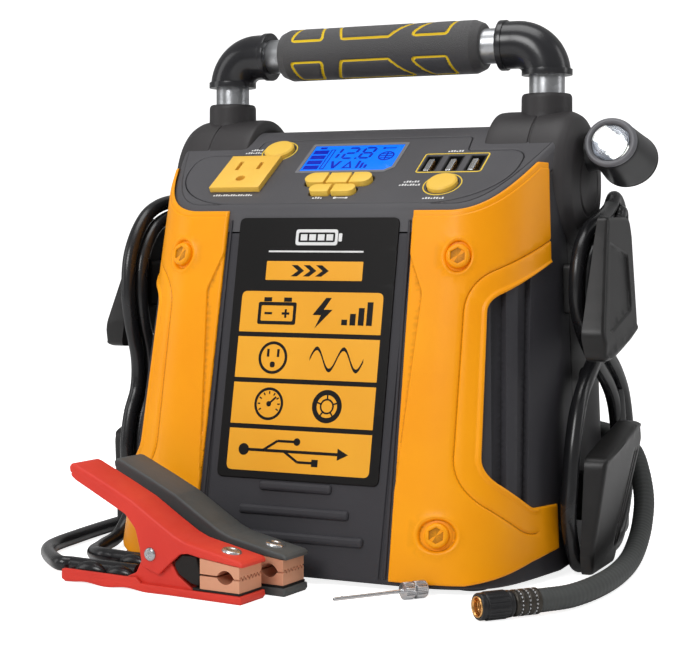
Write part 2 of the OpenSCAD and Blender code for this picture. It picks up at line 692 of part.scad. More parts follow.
// a growing oval coil between the case side and the cleats
function coil(start) = [for (i = [0:coil_steps])
  let (
    turn = start + coil_sweep * i / coil_steps,
    grown = coil_growth * (turn - start) / 360
  )
  coil_at + [0, (coil_half_y + grown) * power(cos(turn), 0.75),
    (coil_half_z + grown) * power(sin(turn), 0.9)]];
function clamp_end(at) = [for (point = clamp_run)
  let (flat = rotated([point[0], arm_w / 2], -clamp_turn))
  at + [flat[0], flat[1], point[1]]];

module cable(lead_in, coil_path, lead_out, clamp_at) sweep(concat(
  smooth(lead_in, 4), coil_path, smooth(concat(lead_out, clamp_end(clamp_at)), 5)), cable_r);
module black_cable() color([0.1, 0.1, 0.1]) at_datum() cable(black_lead_in,
  [for (point = coil(205)) [-point[0], point[1], point[2]]], black_lead_out, black_at);
module red_cable() color([0.11, 0.11, 0.11]) at_datum() cable(red_lead_in,
  [for (point = coil(25)) [point[0], point[1], 2 * coil_at[2] - point[2]]],
  red_lead_out, red_at);

// ---------- air hose ----------
chuck_at = [115.9, -145, 6.8];
chuck_turn = 49.4; // degrees from +X
chuck_axis = [cos(chuck_turn), sin(chuck_turn), 0];
chuck_r = 6.2;
stem_r = 3;
needle_bead_r = 4.3;
// x, y, z from the chuck round the right side to the back
hose_path = [chuck_at + 29.5 * chuck_axis, chuck_at + 36 * chuck_axis,
  [146.5, -101, 6], [151.3, -75, 5.8], [152.5, -45, 6], [151, -15, 7.5], [149, 8, 12.5],
  [147.2, 24, 20], [145, 36, 31], [140, 47, 43], [132, 61, 53], [119, 76, 59],
  [106, 80, 62], [98.5, 74, 62], [97.5, 64.3, 62]];

// local Z along the chuck, towards the hose
module chuck_frame() at_datum() translate(chuck_at) rotate([0, 0, chuck_turn])
  rotate([0, 90, 0]) children();
module air_hose() color([0.2, 0.2, 0.2]) at_datum() sweep(smooth(hose_path, 4), hose_r, 12);
module hose_ferrule() color([0.25, 0.24, 0.22]) chuck_frame() difference() {
  union() {
    translate([0, 0, 17.5]) cylinder(r = chuck_r, h = 13.7);
    translate([0, 0, 12.8]) cylinder(r = stem_r, h = 5);
  }
  translate([0, 0, 12]) cylinder(r = 1.2, h = 30);
  translate([0, 0, 19.5]) cylinder(r = hose_r + 0.3, h = 20);
}
module chuck_sleeve() color([0.13, 0.13, 0.13]) chuck_frame() difference() {
  union() {
    cylinder(r = chuck_r, h = 17.2);
    // fine ribs round the sleeve
    for (turn = [0:20:359]) rotate([0, 0, turn])
      translate([6.1, -0.45, 1]) cube([0.45, 0.9, 15.2]);
  }
  translate([0, 0, -1]) cylinder(r = 5.05, h = 20);
}
module chuck_nut() color([0.8, 0.6, 0.3]) chuck_frame() difference() {
  translate([0, 0, -0.4]) cylinder(r = 5, h = 17.4);
  translate([0, 0, -1]) cylinder(r = 3.85, h = 12.6);
  translate([0, 0, 5]) cylinder(r = stem_r + run, h = 20);
}
module ball_needle() color([0.8, 0.8, 0.82]) at_datum() translate([46, -148.6, 4.4])
  rotate([0, 0, 53.1]) rotate([0, 90, 0]) difference() {
    union() {
      cylinder(r = 0.9, h = 38.5);
      translate([0, 0, 37.5]) cylinder(r = needle_bead_r, h = 5);
      translate([0, 0, 42.4]) cylinder(r = 3.9, h = 1.2);
      translate([0, 0, 43.5]) cylinder(r = needle_bead_r, h = 6.3);
    }
    translate([0, 0, -1]) cylinder(r = 0.45, h = 60);
  }

// ---------- battery and inverter ----------
battery_size = [181, 77, 165];
battery_z = 7;
board_y = 30;
board_t = 1.6;
part_y = board_y + board_t; // rear face of the board, where its parts stand

module battery() color([0.15, 0.16, 0.2]) at_datum() {
  translate([-battery_size[0] / 2, -53, battery_z]) cube(battery_size);
  both() translate([74, -42, battery_z + battery_size[2]]) cylinder(r = 6, h = 4);
}
module inverter_board() color([0.12, 0.4, 0.22]) at_datum() {
  translate([20, board_y, 96]) cube([80, board_t, 76]);
  translate([26, part_y, 102]) cube([28, 22, 26]);
  translate([62, part_y, 102]) cube([30, 14, 30]);
  for (i = [0:3]) translate([60 + i * 9, part_y, 140]) cube([4, 20, 28]);
  for (i = [0:1]) facing_y([34 + i * 16, part_y, 150]) cylinder(r = 6.5, h = 18);
}

// ---------- compressor ----------
motor_y = 43; // motor axis
motor_z = 52;
crank_z = motor_z + gear_m * (crank_teeth + pinion_teeth) / 2;
shaft_r = 1.6;
crank_axle_r = 2.5;
gear_x = -40;
barrel_x = -47; // upright finned barrel
pressure_angle = 22;
tooth_play = 0.16;

module compressor_body() color([0.55, 0.56, 0.58]) at_datum() difference() {
  union() {
    translate([-32, 27, 30]) cube([3, 32, 98]);
    facing_x([-29.5, motor_y, motor_z]) cylinder(r = 16.4, h = 62);
    facing_x([-41.5, motor_y, crank_z]) cylinder(r = crank_axle_r, h = 11);
    translate([-58, 31, 96]) cube([27, 24, 4]);
    translate([barrel_x, motor_y, 99]) cylinder(r = 11.5, h = 28);
    for (i = [0:4]) translate([barrel_x, motor_y, 103 + i * 5]) cylinder(r = 14, h = 1.6);
    translate([barrel_x, motor_y, 127]) cylinder(r = 14.5, h = 6);
  }
  facing_x([-50, motor_y, motor_z]) cylinder(r = shaft_r + run, h = 34);
  translate([barrel_x, motor_y, 90]) cylinder(r = 8.5, h = 34);
}

// involute point after a roll in degrees from the base circle
function involute(base_r, roll) = let (arc = roll * PI / 180)
  [base_r * (cos(roll) + arc * sin(roll)), base_r * (sin(roll) - arc * cos(roll))];
function roll_to(radius, base_r) = sqrt(pow(radius / base_r, 2) - 1) * 180 / PI;
function bearing(point) = atan2(point[1], point[0]);
// one tooth flank, mirrored and repeated round the gear
function gear_outline(teeth) =
  let (
    pitch_r = gear_m * teeth / 2,
    base_r = pitch_r * cos(pressure_angle),
    tip_r = pitch_r + 0.85 * gear_m,
    root_r = pitch_r - 1.1 * gear_m,
    half_tooth = 90 / teeth - tooth_play / pitch_r * 180 / PI / 2,
    flank_turn = bearing(involute(base_r, roll_to(pitch_r, base_r))) + half_tooth,
    tip_roll = roll_to(tip_r, base_r),
    flank = [for (i = [0:5]) rotated(involute(base_r, tip_roll * i / 5), -flank_turn)],
    upper = [for (point = flank) if (norm(point) >= root_r) point],
    root = rotated([root_r, 0], bearing(flank[0])),
    tooth = concat([root], upper,
      [for (i = [len(upper) - 1:-1:0]) [upper[i][0], -upper[i][1]]],
      [[root[0], -root[1]]])
  )
  [for (i = [0:teeth - 1], point = tooth) rotated(point, i * 360 / teeth)];

module crank_gear() color([0.85, 0.85, 0.8]) at_datum()
  facing_x([gear_x, motor_y, crank_z]) difference() {
    union() {
      linear_extrude(4.5) polygon(gear_outline(crank_teeth));
      cylinder(r = 5, h = 7.5);
      translate([8, 0, -3.5]) cylinder(r = 2, h = 4);
    }
    translate([0, 0, -5]) cylinder(r = crank_axle_r + run, h = 20);
  }
// turned half a tooth to mesh with the crank gear
module drive_pinion() color([0.8, 0.65, 0.3]) at_datum()
  facing_x([gear_x, motor_y, motor_z]) {
    linear_extrude(5) polygon([for (point = gear_outline(pinion_teeth))
      rotated(point, 180 / pinion_teeth)]);
    cylinder(r = shaft_r, h = 22);
  }

// ---------- fan ----------
fan_w = 40;
fan_axle_r = 2;

module fan_frame() color([0.14, 0.14, 0.14]) at_datum() facing_y(fan_at) {
  difference() {
    translate([-fan_w / 2, -fan_w / 2, 0]) cube([fan_w, fan_w, 10]);
    translate([0, 0, -1]) cylinder(r = 18.6, h = 12);
  }
  translate([0, 0, 1]) cylinder(r = fan_axle_r, h = 8);
  translate([0, 0, 8.2]) cylinder(r = 8, h = 1.8);
  for (turn = [45:90:315]) rotate([0, 0, turn]) translate([6, -1.5, 8.5]) cube([16, 3, 1.2]);
}
module fan_rotor() color([0.2, 0.2, 0.2]) at_datum() facing_y(fan_at) difference() {
  union() {
    translate([0, 0, 0.6]) cylinder(r = 8.5, h = 7.4);
    for (turn = [0:60:359]) rotate([0, 0, turn]) translate([7.5, 0, 4.3])
      rotate([38, 0, 0]) translate([0, -4, -0.6]) cube([10.5, 8, 1.2]);
  }
  translate([0, 0, 0.9]) cylinder(r = fan_axle_r + run, h = 10);
}

front_shell();
rear_shell();
top_shell();
fascia_plate();
cladding_left();
cladding_right();
cladding_bolts();
info_label();
shoulder_cap_left();
shoulder_cap_right();
rubber_feet();
handle_posts();
handle_crossbar();
handle_elbows();
handle_grip();
ac_outlet();
lcd_window();
control_board();
ac_power_button();
jump_start_button();
minus_button();
air_button();
plus_button();
lamp_button();
usb_button();
usb_ports();
lamp_shell();
lamp_bezel();
lamp_lens();
lamp_reflector();
cleat_upper_left();
cleat_lower_left();
cleat_upper_right();
cleat_lower_right();
red_upper_arm();
red_lower_arm();
red_upper_jaw();
red_lower_jaw();
red_pivot_pin();
red_spring();
black_upper_arm();
black_lower_arm();
black_upper_jaw();
black_lower_jaw();
black_pivot_pin();
black_spring();
red_cable();
black_cable();
air_hose();
hose_ferrule();
chuck_sleeve();
chuck_nut();
ball_needle();
battery();
inverter_board();
compressor_body();
crank_gear();
drive_pinion();
fan_frame();
fan_rotor();
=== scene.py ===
"""Portable power pack: a case with a sloping console, side covers, carrying grip, work lamp,
cable cleats, two battery clamps with their cables, an air hose with its chuck and a ball needle.

The front faces -Y, +Z is up and +X is the right side seen from the front. Shapes are written in
millimetres in the case's own frame, whose origin is on the floor; mesh_obj moves them by
CASE_SHIFT_Y and scales them to metres.
"""
import bpy
import bmesh
import json
import math
import numpy as np
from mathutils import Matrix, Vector
from mathutils.geometry import delaunay_2d_cdt


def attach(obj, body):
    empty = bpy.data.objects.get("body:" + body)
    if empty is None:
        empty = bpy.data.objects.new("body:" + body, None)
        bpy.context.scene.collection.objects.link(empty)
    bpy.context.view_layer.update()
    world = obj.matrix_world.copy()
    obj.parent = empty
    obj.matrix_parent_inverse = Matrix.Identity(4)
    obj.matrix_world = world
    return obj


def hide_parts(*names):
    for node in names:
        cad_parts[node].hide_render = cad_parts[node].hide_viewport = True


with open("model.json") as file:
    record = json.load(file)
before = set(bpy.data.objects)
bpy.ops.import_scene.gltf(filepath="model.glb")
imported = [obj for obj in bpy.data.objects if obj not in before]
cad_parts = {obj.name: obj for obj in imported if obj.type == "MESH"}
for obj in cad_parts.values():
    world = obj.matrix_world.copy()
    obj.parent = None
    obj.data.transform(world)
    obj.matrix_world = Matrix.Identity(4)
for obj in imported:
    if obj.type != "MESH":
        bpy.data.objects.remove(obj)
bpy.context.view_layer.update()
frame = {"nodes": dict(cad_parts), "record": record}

MM = 0.001
CASE_SHIFT_Y = 19.5
BODY = {}
for body, members in (frame["record"].get("behaviour") or {}).get("bodies", {}).items():
    for member in members:
        BODY[member] = body
SLOT = {p["node"]: p["material_slot"] for p in frame["record"]["subparts"]}


# ------------------------------------------------------------------ materials
def srgb(red, green, blue):
    """linear RGBA of an 8-bit sRGB colour"""
    def linear(c):
        return c / 255 / 12.92 if c / 255 <= 0.04045 else ((c / 255 + 0.055) / 1.055) ** 2.4
    return (linear(red), linear(green), linear(blue), 1.0)


def scaled(colour, factor, lift=0.0):
    return tuple(min(1, c * factor + lift) for c in colour[:3]) + (1.0,)


def put(tree, socket, value):
    """link value to the socket if it is an output, else set it"""
    if isinstance(value, bpy.types.NodeSocket):
        tree.links.new(value, socket)
    else:
        socket.default_value = value


def add_node(tree, kind, inputs=None, **settings):
    node = tree.nodes.new("ShaderNode" + kind)
    for key, value in settings.items():
        setattr(node, key, value)
    for key, value in (inputs or {}).items():
        put(tree, node.inputs[key], value)
    return node


def noise(tree, coords, scale, detail):
    inputs = {"Vector": coords, "Scale": scale, "Detail": detail}
    return add_node(tree, "TexNoise", inputs).outputs["Fac"]


def mix_colour(tree, factor, first, second, blend="MIX"):
    # inputs 0, 6 and 7 are the factor and the two colours
    inputs = {0: factor, 6: first, 7: second}
    return add_node(tree, "Mix", inputs, data_type="RGBA", blend_type=blend).outputs[2]


def map_range(tree, value, **limits):
    """limits are the sockets' names with underscores"""
    inputs = {key.replace("_", " "): limit for key, limit in limits.items()}
    return add_node(tree, "MapRange", {"Value": value, **inputs}).outputs["Result"]


def worn_edges_and_painted_light(tree, coords, colour, base, wear, wear_colour):
    """lighter in patches on convex edges, as wear and painted highlight; darker in hollows, as
    painted shade
    """
    pointiness = add_node(tree, "NewGeometry").outputs["Pointiness"]
    # convex edges lightened in noisy patches: wear, and painted highlight
    edges = map_range(tree, pointiness, From_Min=0.515, From_Max=0.60)
    patches = noise(tree, coords, scale=160, detail=4)
    edge_wear_and_highlight = add_node(tree, "Math", {0: edges, 1: patches}, operation="MULTIPLY").outputs[0]
    amount = add_node(tree, "Math", {0: edge_wear_and_highlight, 1: wear}, operation="MULTIPLY").outputs[0]
    colour = mix_colour(tree, amount, colour, wear_colour or scaled(base, 1.5, lift=0.06))
    # painted shade: concave places darkened where shade falls
    painted_hollow_shade = map_range(tree, pointiness, From_Min=0.492, From_Max=0.45, To_Min=0.0, To_Max=0.75)
    return mix_colour(tree, painted_hollow_shade, colour, scaled(base, 0.3))


def spangled(tree, coords, colour):
    """faint cells like galvanising"""
    cells = add_node(tree, "TexVoronoi", {"Vector": coords, "Scale": 260})
    grey = add_node(tree, "RGBToBW", {0: cells.outputs["Color"]})
    return mix_colour(tree, 0.3, colour, grey.outputs[0], blend="MULTIPLY")


def surface_height(tree, coords, texture, grain):
    if texture == "leather":
        cells = add_node(tree, "TexVoronoi", {"Vector": coords, "Scale": grain})
        return cells.outputs["Distance"]
    if texture == "brushed":
        stretch = add_node(tree, "Mapping", {"Vector": coords, "Scale": (0.06, 1, 1)})
        coords = stretch.outputs["Vector"]
    return noise(tree, coords, grain, detail=3)


def material(name, base, dark=None, rough=0.45, rough_var=0.08, metallic=0.0, grain=1400.0,
             bump=0.12, spec=0.32, wear=0.25, wear_colour=None, coat=0.0, texture=None,
             glow=None, sheen=0.0):
    """cloudy colour from dark to base, fine grain, worn edges lightened partly as painted
    highlight, and painted shade in hollows; glow is (colour, strength)
    """
    mat = bpy.data.materials.new(name)
    mat.use_nodes = True
    tree = mat.node_tree
    shader = tree.nodes["Principled BSDF"].inputs
    coords = add_node(tree, "TexCoord").outputs["Object"]
    clouds = noise(tree, coords, scale=18.0, detail=5)
    ramp = add_node(tree, "ValToRGB", {"Fac": clouds})
    low, high = ramp.color_ramp.elements
    low.position = 0.3
    low.color = dark or scaled(base, 0.86)
    high.position = 0.7
    high.color = base
    colour = ramp.outputs["Color"]
    if wear:
        colour = worn_edges_and_painted_light(tree, coords, colour, base, wear, wear_colour)
    if texture == "spangle":
        colour = spangled(tree, coords, colour)
    put(tree, shader["Base Color"], colour)
    roughness = map_range(tree, clouds, To_Min=max(0.02, rough - rough_var),
                          To_Max=min(1, rough + rough_var))
    put(tree, shader["Roughness"], roughness)
    shader["Metallic"].default_value = metallic
    shader["Specular IOR Level"].default_value = spec
    shader["Sheen Weight"].default_value = sheen
    if coat:
        shader["Coat Weight"].default_value = coat
        shader["Coat Roughness"].default_value = 0.12
    if glow:
        shader["Emission Color"].default_value, shader["Emission Strength"].default_value = glow
    if bump:
        height = surface_height(tree, coords, texture, grain)
        relief = add_node(tree, "Bump", {"Height": height, "Strength": bump, "Distance": 0.0003})
        put(tree, shader["Normal"], relief.outputs["Normal"])
    mat.diffuse_color = base
    return mat


def clear_lens():
    mat = bpy.data.materials.new("lens_clear")
    mat.use_nodes = True
    tree = mat.node_tree
    shader = tree.nodes["Principled BSDF"].inputs
    shader["Base Color"].default_value = (0.95, 0.97, 1, 1)
    shader["Transmission Weight"].default_value = 1.0
    shader["IOR"].default_value = 1.35
    smears = add_node(tree, "TexNoise", {"Scale": 60}).outputs["Fac"]
    put(tree, shader["Roughness"], map_range(tree, smears, To_Min=0.02, To_Max=0.08))
    return mat


M = {}


def add(name, base, dark=None, **look):
    """material from 8-bit colours, kept in M"""
    M[name] = material(name, srgb(*base), dark and srgb(*dark), **look)


# case
add("case_dark", (56, 55, 59), (48, 47, 51), rough=0.5, bump=0.18, spec=0.25)
# darker copy of case_dark: painted shade for the flanks and the floor
add("flank_dark", (44, 43, 45), (37, 36, 38), rough=0.46, bump=0.14)
add("console_grey", (80, 79, 82), (71, 70, 73), rough=0.5, bump=0.22, grain=1100)
# the cover's wear colour is its lit highlight colour: its edges carry painted highlight as well as
# wear
add("cover_yellow", (250, 163, 4), (244, 152, 2), rough=0.4, rough_var=0.05, bump=0.035,
    wear=0.15, coat=0.04, spec=0.2, wear_colour=srgb(255, 194, 92))
add("label_black", (17, 15, 15), (13, 12, 12), rough=0.42, bump=0.02, wear=0, spec=0.16)
add("label_yellow", (238, 168, 34), (233, 160, 28), rough=0.4, bump=0.02, wear=0)
add("groove_dark", (24, 24, 25), (18, 18, 19), rough=0.75, bump=0.1, wear=0)
add("foot_rubber", (28, 28, 28), rough=0.8, bump=0.3)
add("shoulder_dark", (58, 56, 57), (49, 47, 48), rough=0.48, bump=0.2, grain=1000)
add("cleat_black", (31, 30, 30), (25, 24, 24), rough=0.36, bump=0.16, spec=0.3)
# handle
add("tube_steel", (205, 206, 208), (170, 172, 175), rough=0.34, metallic=0.85,
    texture="spangle", wear=0.1)
add("elbow_black", (36, 36, 39), (28, 28, 31), rough=0.24, bump=0.05, spec=0.5)
add("grip_rubber", (64, 63, 64), (54, 53, 54), rough=0.5, bump=0.55, grain=1900,
    texture="leather", sheen=0.25, spec=0.45)
add("grip_yellow", (232, 200, 30), (214, 178, 20), rough=0.6, bump=0.3, grain=1700, wear=0)
# console
add("outlet_yellow", (244, 196, 84), (238, 186, 72), rough=0.36, bump=0.03, wear=0.1)
add("button_yellow", (242, 202, 92), (236, 188, 66), rough=0.42, bump=0.05, wear=0.1)
add("lcd_blue", (0, 96, 220), (0, 88, 212), rough=0.3, bump=0.0, wear=0, spec=0.15,
    glow=(srgb(0, 128, 255), 0.5))
add("lcd_ink", (0, 28, 170), (0, 22, 150), rough=0.25, bump=0.0, wear=0,
    glow=(srgb(0, 28, 180), 0.25))
add("lcd_frame", (120, 120, 124), rough=0.4, bump=0.05)
add("print_white", (228, 228, 228), rough=0.5, bump=0.0, wear=0)
add("print_yellow", (244, 208, 70), bump=0.0, wear=0)
add("board_green", (22, 92, 50), rough=0.35, bump=0.1)
add("black_plastic", (32, 32, 34), (25, 25, 27), rough=0.34, bump=0.08)
add("port_black", (12, 12, 13), rough=0.5, bump=0.05, wear=0)
# lamp
add("bezel_grey", (112, 112, 116), (94, 94, 98), rough=0.3, bump=0.06)
add("reflector", (236, 238, 242), rough=0.08, metallic=1.0, bump=0.25, grain=420, wear=0)
add("led_white", (252, 252, 246), rough=0.2, bump=0, wear=0, glow=(srgb(255, 252, 240), 1.6))
M["lens_clear"] = clear_lens()
# clamps, cables and hose
add("clamp_red", (222, 62, 46), (208, 50, 38), rough=0.5, bump=0.3, grain=900, wear=0.15,
    wear_colour=srgb(240, 120, 100))
add("clamp_black", (78, 81, 81), (66, 69, 69), rough=0.52, bump=0.3, grain=900, wear=0.2)
add("copper", (226, 168, 136), (208, 146, 114), rough=0.42, metallic=0.35, bump=0.1,
    texture="brushed", grain=900)
add("insert_black", (26, 23, 21), rough=0.7, bump=0.4, wear=0)
add("steel", (205, 206, 208), (170, 171, 174), rough=0.26, metallic=0.9, bump=0.08,
    texture="brushed")
add("cable_black", (28, 28, 30), (22, 22, 24), rough=0.26, bump=0.06, spec=0.45)
add("hose_rubber", (72, 74, 73), (58, 60, 59), rough=0.56, bump=0.3)
add("crimp_steel", (70, 66, 60), (46, 43, 40), rough=0.35, metallic=0.6, bump=0.2)
add("brass", (226, 176, 110), (196, 140, 80), rough=0.24, metallic=0.9, bump=0.06,
    texture="brushed")
# inside
add("battery_case", (44, 46, 54), rough=0.5, bump=0.2)
add("motor_metal", (160, 162, 166), rough=0.38, metallic=0.8, bump=0.15)
add("gear_nylon", (226, 225, 214), bump=0.05)


# ------------------------------------------------------------------ meshes
# A part is (vertices, faces) with an optional material index.
def stack(p):
    """(x, y, z) columns or an (n, 3) array as an (n, 3) array"""
    if isinstance(p, np.ndarray):
        return p
    return np.stack(np.broadcast_arrays(*[np.asarray(c, float) for c in p]), 1)


def join(parts):
    verts, faces, kinds, base = [], [], [], 0
    for part in parts:
        V, F = np.asarray(part[0], float), part[1]
        verts.append(V)
        faces += [tuple(int(i) + base for i in f) for f in F]
        kinds += [part[2] if len(part) > 2 else 0] * len(F)
        base += len(V)
    return np.vstack(verts), faces, kinds


def shade(ob, angle):
    for p in ob.data.polygons:
        p.use_smooth = True
    ob.data.set_sharp_from_angle(angle=math.radians(angle))


def mesh_obj(name, parts, mats, slot=None, body="root", replaces=None, angle=35, weld=0.0,
             bevel=0.0):
    """one object from parts; the slot is not used"""
    verts, faces, kinds = join(parts)
    verts[:, 1] += CASE_SHIFT_Y
    mats = [mats] if isinstance(mats, str) else mats
    me = bpy.data.meshes.new(name)
    me.from_pydata([tuple(p) for p in verts * MM], [], faces)
    for mat in mats:
        me.materials.append(M[mat])
    for p, kind in zip(me.polygons, kinds):
        p.material_index = kind
    me.validate()
    bm = bmesh.new()
    bm.from_mesh(me)
    if weld:
        bmesh.ops.remove_doubles(bm, verts=bm.verts, dist=weld * MM)
    bmesh.ops.recalc_face_normals(bm, faces=bm.faces)
    bm.to_mesh(me)
    bm.free()
    ob = bpy.data.objects.new(name, me)
    bpy.context.scene.collection.objects.link(ob)
    shade(ob, angle)
    if bevel:
        bv = ob.modifiers.new("bevel", "BEVEL")
        bv.width = bevel * MM
        bv.segments = 2
        bv.limit_method = "ANGLE"
        bv.angle_limit = math.radians(angle)
        bv.harden_normals = True
    slot or mats[0]
    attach(ob, body)
    if replaces:
        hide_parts(replaces)


def placed(part, mapf, kind=0):
    """part with its vertices moved by mapf(a, b, t)"""
    V = np.asarray(part[0], float)
    return stack(mapf(V[:, 0], V[:, 1], V[:, 2])), part[1], kind


def flipped(part):
    """part mirrored to the other side of the case"""
    V = np.array(part[0], float)
    V[:, 0] *= -1
    return V, part[1]


def ring_faces(rows, n):
    """faces between rows of n vertices, each row a closed ring"""
    return [(k * n + i, k * n + (i + 1) % n, (k + 1) * n + (i + 1) % n, (k + 1) * n + i)
            for k in range(rows - 1) for i in range(n)]


def revolve(prof, n=64, shape=None):
    """profile [(r, t)] turned about +Z; shape(r, t, angle) gives the radius if it varies"""
    V = []
    for a in np.radians(np.linspace(0.0, 360.0, n, endpoint=False)):
        for r, t in prof:
            radius = shape(r, t, a) if shape else r
            V.append((radius * math.cos(a), radius * math.sin(a), t))
    m = len(prof)
    F = [(i * m + k, (i + 1) % n * m + k, (i + 1) % n * m + k + 1, i * m + k + 1)
         for i in range(n) for k in range(m - 1)]
    return np.array(V, float), F


def along_x(y0, z0, x0=0.0):
    """lays a revolved axis along +X"""
    return lambda a, b, t: (x0 + t, y0 + a, z0 + b)


def spline(points, n=10):
    """smooth curve through the points with n steps between two of them"""
    P = [np.array(p, float) for p in points]
    last = len(P) - 1
    out = []
    for i in range(last):
        a, b, c, d = P[max(i - 1, 0)], P[i], P[i + 1], P[min(i + 2, last)]
        for j in range(n):
            t = j / n
            out.append(0.5 * (2 * b + (c - a) * t + (2 * a - 5 * b + 4 * c - d) * t * t
                              + (3 * b - a - 3 * c + d) * t ** 3))
    return np.array(out + [P[last]])


def sweep(path, radius, k=20):
    """closed tube of k sides; radius is one value or one for each point"""
    P = np.asarray(path, float)
    radii = np.broadcast_to(radius, len(P))
    T = np.gradient(P, axis=0)
    T /= np.linalg.norm(T, axis=1)[:, None]
    side = np.cross(T[0], (0, 0, 1) if abs(T[0][2]) < 0.9 else (1, 0, 0))
    angles = [2 * math.pi * j / k for j in range(k)]
    V = []
    for p, t, r in zip(P, T, radii):
        side = side - t * (side @ t)
        side /= np.linalg.norm(side)
        up = np.cross(t, side)
        V += [p + r * (math.cos(a) * side + math.sin(a) * up) for a in angles]
    F = [(i * k + j, (i + 1) * k + j, (i + 1) * k + (j + 1) % k, i * k + (j + 1) % k)
         for i in range(len(P) - 1) for j in range(k)]
    V += [P[0], P[-1]]
    start, end, row = len(V) - 2, len(V) - 1, (len(P) - 1) * k
    F += [(start, (j + 1) % k, j) for j in range(k)]
    F += [(end, row + j, row + (j + 1) % k) for j in range(k)]
    return np.array(V), F


# ------------------------------------------------------------------ outlines
def rect(x0, y0, x1, y1):
    return [(x0, y0), (x1, y0), (x1, y1), (x0, y1)]


def block(cx, cy, half_x, half_y):
    return rect(cx - half_x, cy - half_y, cx + half_x, cy + half_y)


def circle(cx, cy, r, n=40):
    angles = [2 * math.pi * i / n for i in range(n)]
    return [(cx + r * math.cos(a), cy + r * math.sin(a)) for a in angles]


def bar(x0, z0, x1, z1, w):
    """straight stroke of width w"""
    d = np.array([x1 - x0, z1 - z0], float)
    d /= np.linalg.norm(d)
    n = np.array([-d[1], d[0]]) * w / 2
    return [(x0 + n[0], z0 + n[1]), (x0 - n[0], z0 - n[1]),
            (x1 - n[0], z1 - n[1]), (x1 + n[0], z1 + n[1])]


def corner(p0, p1, p2, reach, n):
    """curve round the corner p1, starting at most reach from it"""
    a, b = p0 - p1, p2 - p1
    la, lb = np.linalg.norm(a), np.linalg.norm(b)
    d = min(reach, la * 0.45, lb * 0.45)
    s, e = p1 + a / la * d, p1 + b / lb * d
    steps = [k / n for k in range(n + 1)]
    return [tuple((1 - t) ** 2 * s + 2 * t * (1 - t) * p1 + t * t * e) for t in steps]


def rounded(poly, r, n=5):
    """closed polygon with its corners rounded by r, one value or one for each corner"""
    out = []
    m = len(poly)
    for i in range(m):
        p0, p1, p2 = (np.array(poly[(i + k) % m], float) for k in (-1, 0, 1))
        a, b = p0 - p1, p2 - p1
        cosine = float(np.clip(a @ b / (np.linalg.norm(a) * np.linalg.norm(b)), -1, 1))
        half = math.acos(cosine) / 2
        ri = r[i] if isinstance(r, (list, tuple)) else r
        if ri <= 0 or half > math.radians(88.5):
            out.append(tuple(p1))
        else:
            out += corner(p0, p1, p2, ri / math.tan(half), n)
    return out


def fillet(pts, r=0.6, n=3):
    """open profile with its inner points rounded"""
    out = [tuple(pts[0])]
    for i in range(1, len(pts) - 1):
        p0, p1, p2 = (np.array(pts[k], float) for k in (i - 1, i, i + 1))
        out += corner(p0, p1, p2, r, n)
    return out + [tuple(pts[-1])]


def resample(points, step, closed=True):
    P = [np.array(p, float) for p in points]
    if closed:
        P = P + [P[0]]
    out = []
    for a, b in zip(P[:-1], P[1:]):
        length = np.linalg.norm(b - a)
        if length < 1e-6:
            continue
        k = max(1, int(math.ceil(length / step)))
        out += [a + (b - a) * i / k for i in range(k)]
    if not closed:
        out.append(P[-1])
    return np.array(out)


def dist_poly(P, poly, closed=True):
    """unsigned distance from points P (n, 2) to a polyline"""
    A = np.array(poly, float)
    B = np.roll(A, -1, 0) if closed else A[1:]
    best = np.full(len(P), 1e9)
    for a, b in zip(A, B):
        d = b - a
        square = d @ d
        if square < 1e-12:
            continue
        t = np.clip(((P - a) @ d) / square, 0, 1)
        best = np.minimum(best, np.linalg.norm(P - a - t[:, None] * d, axis=1))
    return best


def inside(P, poly):
    A = np.array(poly, float)
    B = np.roll(A, -1, 0)
    odd = np.zeros(len(P), bool)
    for a, b in zip(A, B):
        crosses = (a[1] > P[:, 1]) != (b[1] > P[:, 1])
        with np.errstate(divide="ignore", invalid="ignore"):
            x = (b[0] - a[0]) * (P[:, 1] - a[1]) / (b[1] - a[1] + 1e-30) + a[0]
        odd ^= crosses & (P[:, 0] < x)
    return odd


def offset(R, d, closed=True):
    """points of polyline R moved by d to its left"""
    t = np.roll(R, -1, 0) - np.roll(R, 1, 0) if closed else np.gradient(R, axis=0)
    t /= np.maximum(np.linalg.norm(t, axis=1)[:, None], 1e-9)
    return R + np.stack([-t[:, 1], t[:, 0]], 1) * d


def area(R):
    R = np.array(R)
    ahead = np.roll(R, -1, 0)
    return 0.5 * np.sum(R[:, 0] * ahead[:, 1] - ahead[:, 0] * R[:, 1])


def smooth01(x):
    x = np.clip(x, 0, 1)
    return x * x * (3 - 2 * x)


def band(v, a, b, w=0.5):
    """1 between a and b with soft ends"""
    return smooth01((v - a) / w + 0.5) * smooth01((b - v) / w + 0.5)


# ------------------------------------------------------------------ moulded sheets
RING_EDGE = 0.8      # edge rounding for which the ring offsets are given


